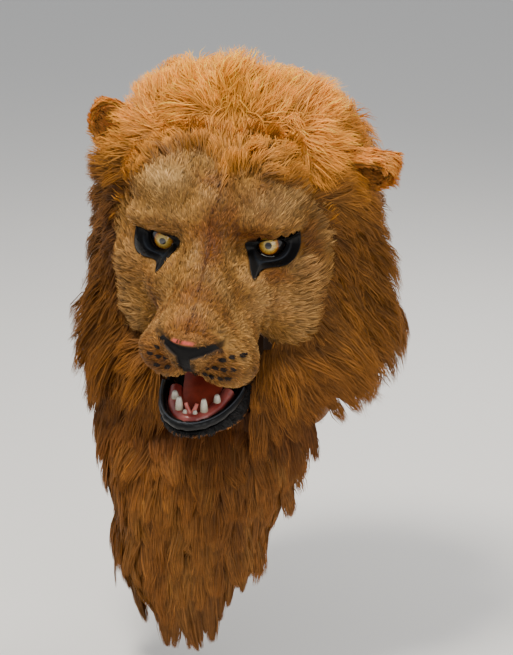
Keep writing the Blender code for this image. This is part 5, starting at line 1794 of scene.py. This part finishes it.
@dataclass
class Mouth:
    """The open mouth: jaw, lip roll, gum, tongue, teeth and the red panel behind them."""

    half_width: float = 0.046
    back_y: float = -0.115
    reach: float = 0.095
    corner_z: float = -0.229
    front_z: float = -0.281
    chin_z: float = -0.291
    sag: float = 0.36
    lip_radius: float = 0.0050
    gum_inset: float = 0.0150
    gum_lift: float = 0.0076
    gum_radius: float = 0.0070
    tooth_rings: int = 24
    lip_span: float = 1.36
    gum_span: float = 1.25
    throat_size: int = 50
    teeth: tuple[Tooth, ...] = (
        Tooth("incisor", 13, 0.0056, 0.0060),
        Tooth("canine", 30, 0.0086, 0.0165),
        Tooth("premolar", 52, 0.0082, 0.0105),
    )

    def edge(self, angle: Array, shrink: float = 0.0) -> Array:
        """The jaw's upper edge: angle 0 is the front, a quarter turn the mouth corner."""
        x = (self.half_width - shrink) * np.sin(angle)
        y = self.back_y - (self.reach - shrink) * signed_power(np.cos(angle), 0.85)
        z = self.corner_z + (self.front_z - self.corner_z) * np.clip(np.cos(angle), 0, 1) ** self.sag
        return np.stack([x, y, z], axis=-1)

    def rail(self, angle: Array, inset: float, lift: float) -> tuple[Array, Array, Array]:
        """Points raised square off the jaw's edge, with the edge's run and the way that they were raised."""
        angle = np.asarray(angle, float)
        here = self.edge(angle, inset)
        run = unit(self.edge(angle + 0.02, inset) - self.edge(angle - 0.02, inset))
        axis = unit(UP - run[..., 2:] * run)
        return here + axis * lift, run, axis

    def jaw_skin(self) -> Skin:
        """The jaw's outer side from the lip down and back to the throat, a cubic curve at each angle."""
        turn = np.linspace(-1, 1, 90)
        angle = np.pi / 2 * (0.5 * turn + 0.5 * np.sin(np.pi / 2 * turn))
        edge = self.edge(angle)
        chin = edge * np.array([1.04, 1, 1])
        chin[:, 1] -= 0.002
        chin[:, 2] = self.chin_z - 0.002 * np.cos(angle)
        under = chin * np.array([0.72, 1, 1])
        under[:, 1] = self.back_y - 0.045 * np.cos(angle)
        under[:, 2] = self.chin_z - 0.004
        root = under * np.array([0.9, 1, 1])
        root[:, 1] = HOOD.front_depth(root[:, 0], root[:, 2]) - 0.0006
        t = np.linspace(0, 1, 40)[:, None, None]
        points = (1 - t) ** 3 * edge + 3 * t * (1 - t) ** 2 * chin + 3 * t**2 * (1 - t) * under + t**3 * root
        return Skin(points, np.array([0.0, -0.125, -0.245]))

    def jaw_tint(self, points: Array) -> Array:
        """Colour: black by the lip, gold-brown fur round the chin."""
        low = ramp(points[..., 2], -0.2850, -0.004)
        return mix(linear(178, 114, 54), INK.black, (1 - low) * (points[..., 1] < -0.12))

    def build_jaw(self) -> None:
        """Makes the jaw's shell and its short fur."""
        skin = self.jaw_skin()
        shell = skin.backing("jaw_shell", lambda p: self.jaw_tint(p) * 0.5, SHELL_SINK, SHELL_WALL)
        place_piece(shell, SKIN_BACKING, "jaw_fur", "jaw")

        def flow(points: Array) -> Array:
            """Way the fur lies: back and down from the chin."""
            return unit(points - np.array([0.0, -0.185, -0.262])) + np.array([0, 0.3, -0.4])

        place_piece(JAW_COAT.grow("jaw_hair", skin, flow, self.jaw_tint), SHORT_HAIR, "jaw_fur")

    def build_lip(self) -> None:
        """Makes the wet black roll over the jaw's edge, with low folds across it, and a thin grey tube along
        its top that is a painted highlight.
        """
        angle = np.linspace(-self.lip_span, self.lip_span, 140)
        path = self.rail(angle, 0.002, self.lip_radius + 0.0012)[0]
        fold = 1 + 0.05 * np.sin(angle * 19) + 0.04 * np.sin(angle * 31 + 1.0)
        tones = np.broadcast_to(linear(7, 7, 8), (len(path), 3))
        roll = tube("lip_roll", path, self.lip_radius * fold, tones)
        place_piece(roll, LIP_RUBBER, "lip_rubber", "lower_lip")
        # Painted highlight: a thin grey tube along the roll's top stands for the light on the wet lip
        ridge = self.rail(angle, -0.0008, 2 * self.lip_radius + 0.0004)[0]
        size = 0.0009 * fold * (0.6 + 0.4 * np.cos(angle))
        tones = np.broadcast_to(linear(58, 62, 68), (len(path), 3))
        place_piece(tube("lip_painted_highlight", ridge, size, tones, sides=8), LIP_RUBBER, "lip_rubber")

    def build_gum(self) -> None:
        """Makes the pink gum, swollen round each tooth's foot."""
        angle = np.linspace(-self.gum_span, self.gum_span, 160)
        path = self.rail(angle, self.gum_inset, self.gum_lift)[0]
        size = np.full(len(angle), self.gum_radius)
        for tooth in self.teeth:
            foot = math.radians(tooth.along)
            size = size + 0.0009 * bell(np.abs(angle), foot, 0.11)
        tones = mix(linear(178, 92, 84), linear(140, 56, 50), 0.5 + 0.5 * np.sin(angle * 9))
        place_piece(tube("gum_ridge", path, size, tones), GUM_RUBBER, "gum_rubber", "lower_gum")

    def build_tongue(self) -> None:
        """Makes the tongue's fold: a pink rim that dips in a U between the incisors."""
        turn = np.linspace(-1, 1, 60)
        path = self.rail(turn * 0.24, self.gum_inset + 0.0050, 0.0)[0]
        path = path + np.stack([0 * turn, 0 * turn, 0.0125 + 0.0115 * np.abs(turn) ** 1.5], axis=-1)
        size = 0.0019 + 0.0007 * np.cos(turn * np.pi / 2)
        tones = mix(linear(222, 126, 112), linear(190, 92, 80), 0.5 + 0.5 * np.sin(turn * 7))
        place_piece(tube("tongue_fold", path, size, tones), GUM_RUBBER, "gum_rubber")

    def build_teeth(self) -> None:
        """Makes the six teeth: round cones that narrow to a blunt tip, darker at the foot."""
        rows = np.linspace(0, 1, self.tooth_rings)[:, None, None]
        turn = np.linspace(0, 2 * np.pi, self.tooth_rings, endpoint=False)[None, :, None]
        share = np.clip(np.linspace(-0.05, 1.05, self.tooth_rings + 2), 0, 1)
        tones = mix(linear(176, 160, 128), linear(222, 216, 200), share)
        for tooth in self.teeth:
            radius = tooth.width / 2 * np.sqrt(1 - np.clip(rows - 0.08, 0, 1) ** 2.2 * 0.93)
            for side, word in ((-1, "left"), (1, "right")):
                angle = side * math.radians(tooth.along)
                foot, run, axis = self.rail(angle, self.gum_inset, self.gum_lift + self.gum_radius - 0.0016)
                across = np.cross(axis, run)
                rings = foot + radius * (np.cos(turn) * run + np.sin(turn) * across)
                stand = axis * 0.15 + np.array([0, 0, 0.85])
                rings = rings + (rows - 0.10) * tooth.height * stand / np.linalg.norm(stand)
                mesh = stack_rings(f"{tooth.name}_{word}_tooth", rings, rings.mean(axis=1), tones)
                place_piece(mesh, IVORY, "ivory", f"{tooth.name}_{word}")

    def build_throat(self) -> None:
        """Makes the brick-red panel that closes the mouth behind the teeth."""
        across = np.linspace(-1, 1, self.throat_size)[None, :]
        down = np.linspace(0, 1, self.throat_size)[:, None]
        x = across * (0.0295 - 0.0130 * down)
        y = -0.118 - 0.0705 * down**1.4 + 0.006 * across**2
        z = -0.220 + (-0.2745 + 0.220) * down
        outer = np.stack(np.broadcast_arrays(x, y, z), axis=-1)
        outer = outer - np.array([0, 1, 0]) * (0.0008 * lattice(outer, 0.010, 91))[..., None]
        inner = outer + np.array([0, 0.002, 0])
        tones = mix(linear(168, 70, 50), linear(132, 46, 32), 0.5 + 0.5 * lattice(outer, 0.012, 93))
        mesh = close_wall("mouth_panel", outer, inner, np.concatenate([tones, tones[::-1]]))
        place_piece(mesh, THROAT_RUBBER, "throat_cloth", "throat_panel")

    def build(self) -> None:
        """Makes the whole mouth."""
        self.build_jaw()
        self.build_lip()
        self.build_gum()
        self.build_tongue()
        self.build_teeth()
        self.build_throat()


# Ears and hood


EAR_COAT = Coat(count=4600, length=0.014, width=0.0010, lift=28, droop=0.05, wave=0.03, locks=260,
                gather=0.45, stray=0.22, steps=3, root_depth=0.0006, seed=111, root_tone=0.8)
CUP_COAT = replace(EAR_COAT, count=3000, length=0.012, width=0.0009, lift=24, locks=160, gather=0.4,
                   stray=0.3, seed=113, root_tone=0.85)


@dataclass(frozen=True)
class Ear:
    """A cupped ear.

    Attributes:
        side: left or right, as the viewer sees it.
        base: where its root sits.
        tip: where it points.
        look: which way the cup looks.
        width: its width at the root.
        depth: how far its sides curl forward.
        fur: length of the hair on its back.
        wall: how thick it is.
    """

    side: str
    base: tuple[float, float, float]
    tip: tuple[float, float, float]
    look: tuple[float, float, float]
    width: float
    depth: float
    fur: float
    wall: float = 0.004

    def skins(self) -> tuple[Skin, Skin]:
        """The cup's inside and the ear's outside.

        Returns:
            Both surfaces.
        """
        base, tip, look = np.array(self.base), np.array(self.tip), np.array(self.look)
        length = np.linalg.norm(tip - base)
        rise = (tip - base) / length
        look = unit(look - (look @ rise) * rise)
        side = np.cross(rise, look)
        up = np.linspace(-0.35, 1, 60)[:, None]
        across = np.linspace(-1, 1, 60)[None, :]
        half = self.width / 2 * np.sqrt(np.clip(1.02 - np.clip(up, 0, 1) ** 2.4, 0.02, 1))
        place = (
            base + up[..., None] * rise * length
            + (across * half)[..., None] * side
            + (self.depth * across**2 * (1 - 0.45 * up))[..., None] * look
        )
        cup = Skin(place, base - look)
        back = Skin(place - cup.normals * self.wall, base + look)
        return cup, back

    def flow(self, points: Array) -> Array:
        """Way the fur lies: from the root to the tip."""
        return np.broadcast_to(unit(np.array(self.tip) - np.array(self.base)), points.shape)

    def outer_tint(self, points: Array) -> Array:
        """Colour of the back and rim: light gold."""
        return INK.ear * (1 + 0.12 * lattice(points, 0.010, 101))[..., None]

    def inner_tint(self, points: Array) -> Array:
        """Colour of the cup: brown, with painted shade only deep in it."""
        rise = np.array(self.tip) - np.array(self.base)
        along = (points - np.array(self.base)) @ rise / (rise @ rise)
        # Painted shade deep in the cup
        colour = mix(INK.ear_inside, INK.mane_shade, ramp(along, 0.35, -0.3) * 0.8)
        return colour * (1 + 0.2 * lattice(points, 0.010, 103))[..., None]

    def build(self) -> None:
        """Makes the ear's wall and its fur inside and out."""
        cup, back = self.skins()
        name = f"ear_{self.side}"
        wall = back.backing(name + "_wall", lambda p: self.outer_tint(p) * 0.6, 0.0, self.wall)
        place_piece(wall, SKIN_BACKING, "ear_fur", name)
        outside = replace(EAR_COAT, length=self.fur).grow(name + "_fur", back, self.flow, self.outer_tint)
        place_piece(outside, LONG_HAIR, "ear_fur")
        inside = CUP_COAT.grow(name + "_cup_fur", cup, self.flow, self.inner_tint)
        place_piece(inside, LONG_HAIR, "ear_fur")


EARS = (
    Ear("left", (-0.118, 0.002, -0.014), (-0.155, -0.006, 0.019), (-0.45, -0.88, 0.10), 0.066, 0.030, 0.014),
    Ear("right", (0.118, 0.004, -0.026), (0.172, -0.006, -0.024), (0.12, -0.66, -0.74), 0.060, 0.034, 0.020),
)


HOOD_WALL = 0.005


class Hood:
    """The padded hood under the fur."""

    def tint(self, points: Array) -> Array:
        """Colour: brown like the fur's backing, black behind the open mouth."""
        x, y, z = axes(points)
        mouth = (np.abs(x) < 0.052) & (np.abs(z + 0.245) < 0.055) & (y < -0.03)
        return mix(linear(116, 74, 34), INK.black, mouth.astype(float))

    def build(self) -> None:
        """Makes the hood's wall with its front opening."""
        turn = np.linspace(-np.pi, np.pi, 84)[None, :]
        level = np.linspace(0, 1.995, 56)[:, None]
        points = HOOD.point(turn, level)
        chain = rounded(rim_chain())
        outline = np.concatenate([chain, [(0.050, -0.234), (-0.050, -0.234)]])
        keep = ~(inside_outline(points[..., [0, 2]], outline) & (points[..., 1] < -0.015))
        skin = Skin(points, HEAD_HEART, keep=keep)
        place_piece(skin.backing("hood_wall", self.tint, 0.0, HOOD_WALL), LINING, "hood_cloth", "hood")


# Studio


@dataclass(frozen=True)
class Lamp:
    """A soft square light."""

    name: str
    place: tuple[float, float, float]
    size: float
    power: float
    colour: tuple[float, float, float]

    def build(self, aim: Vector) -> None:
        """Hangs the light, aimed at the mask.

        Args:
            aim: where it points.
        """
        data = bpy.data.lights.new(self.name, "AREA")
        data.energy = self.power
        data.size = self.size
        data.color = self.colour
        item = add_object(self.name, data)
        item.location = self.place
        item.rotation_euler = (Vector(self.place) - aim).to_track_quat("Z", "Y").to_euler()


@dataclass
class Studio:
    """The floor, the lights and the camera."""

    floor_z: float = -0.62
    floor_half: float = 14.0
    azimuth: float = 15.0
    elevation: float = 18.0
    distance: float = 1.9
    pixel: float = 0.0011
    origin_px: tuple[float, float] = (239.0, 126.5)
    image_px: tuple[float, float] = (513.0, 655.0)
    sensor_mm: float = 36.0
    aim: tuple[float, float, float] = (0.0, 0.0, -0.22)
    lamps: tuple[Lamp, ...] = (
        Lamp("key", (-0.42, -0.52, 1.65), 0.50, 52.0, (1.0, 0.94, 0.84)),
        Lamp("fill", (1.4, -1.5, 0.35), 1.4, 13.0, (1.0, 0.97, 0.93)),
        Lamp("rim", (0.6, 1.2, 1.0), 0.8, 20.0, (1.0, 0.96, 0.90)),
    )

    def build_floor(self) -> None:
        """A plain pale floor."""
        run = np.linspace(-self.floor_half, self.floor_half, 3)
        x, y = np.meshgrid(run, run)
        points = np.stack([x, y, np.full_like(x, self.floor_z)], axis=-1)
        mesh = build_mesh("floor", points.reshape(-1, 3), grid_quads(3, 3), None)
        material = bpy.data.materials.new("floor_paper")
        material.use_nodes = True
        shader = material.node_tree.nodes["Principled BSDF"]
        shader.inputs["Base Color"].default_value = (0.80, 0.79, 0.77, 1.0)
        shader.inputs["Roughness"].default_value = 0.85
        mesh.materials.append(material)
        add_object("floor", mesh)

    def build_camera(self) -> None:
        """The camera at the viewing angle at which the mask is seen."""
        a, e = math.radians(self.azimuth), math.radians(self.elevation)
        back = Vector((math.sin(a) * math.cos(e), -math.cos(a) * math.cos(e), math.sin(e)))
        right = Vector((math.cos(a), math.sin(a), 0.0))
        up = back.cross(right)
        shift_x = (self.image_px[0] / 2 - self.origin_px[0]) * self.pixel
        shift_y = (self.image_px[1] / 2 - self.origin_px[1]) * self.pixel
        target = right * shift_x - up * shift_y
        data = bpy.data.cameras.new("camera")
        data.sensor_width = self.sensor_mm
        data.lens = self.sensor_mm * self.distance / (self.image_px[1] * self.pixel)
        item = add_object("camera", data)
        item.location = target + back * self.distance
        item.rotation_euler = back.to_track_quat("Z", "Y").to_euler()
        bpy.context.scene.camera = item

    def build_sky(self) -> None:
        """An even pale light from all round."""
        world = bpy.data.worlds.new("studio")
        world.use_nodes = True
        light = world.node_tree.nodes["Background"]
        light.inputs["Color"].default_value = (0.95, 0.97, 1.0, 1.0)
        light.inputs["Strength"].default_value = 0.55
        bpy.context.scene.world = world

    def build(self) -> None:
        """Sets the studio up."""
        self.build_floor()
        for lamp in self.lamps:
            lamp.build(Vector(self.aim))
        self.build_camera()
        self.build_sky()


def main() -> None:
    """Builds every piece and the studio."""
    logging.basicConfig(level=logging.INFO, format="%(name)s %(message)s")
    Mane().build()
    Bib().build()
    face = FaceFur()
    face.build()
    Eyes().build()
    Nose().build(face)
    Mouth().build()
    for ear in EARS:
        ear.build()
    Hood().build()
    Studio().build()


if __name__ == "__main__":
    main()
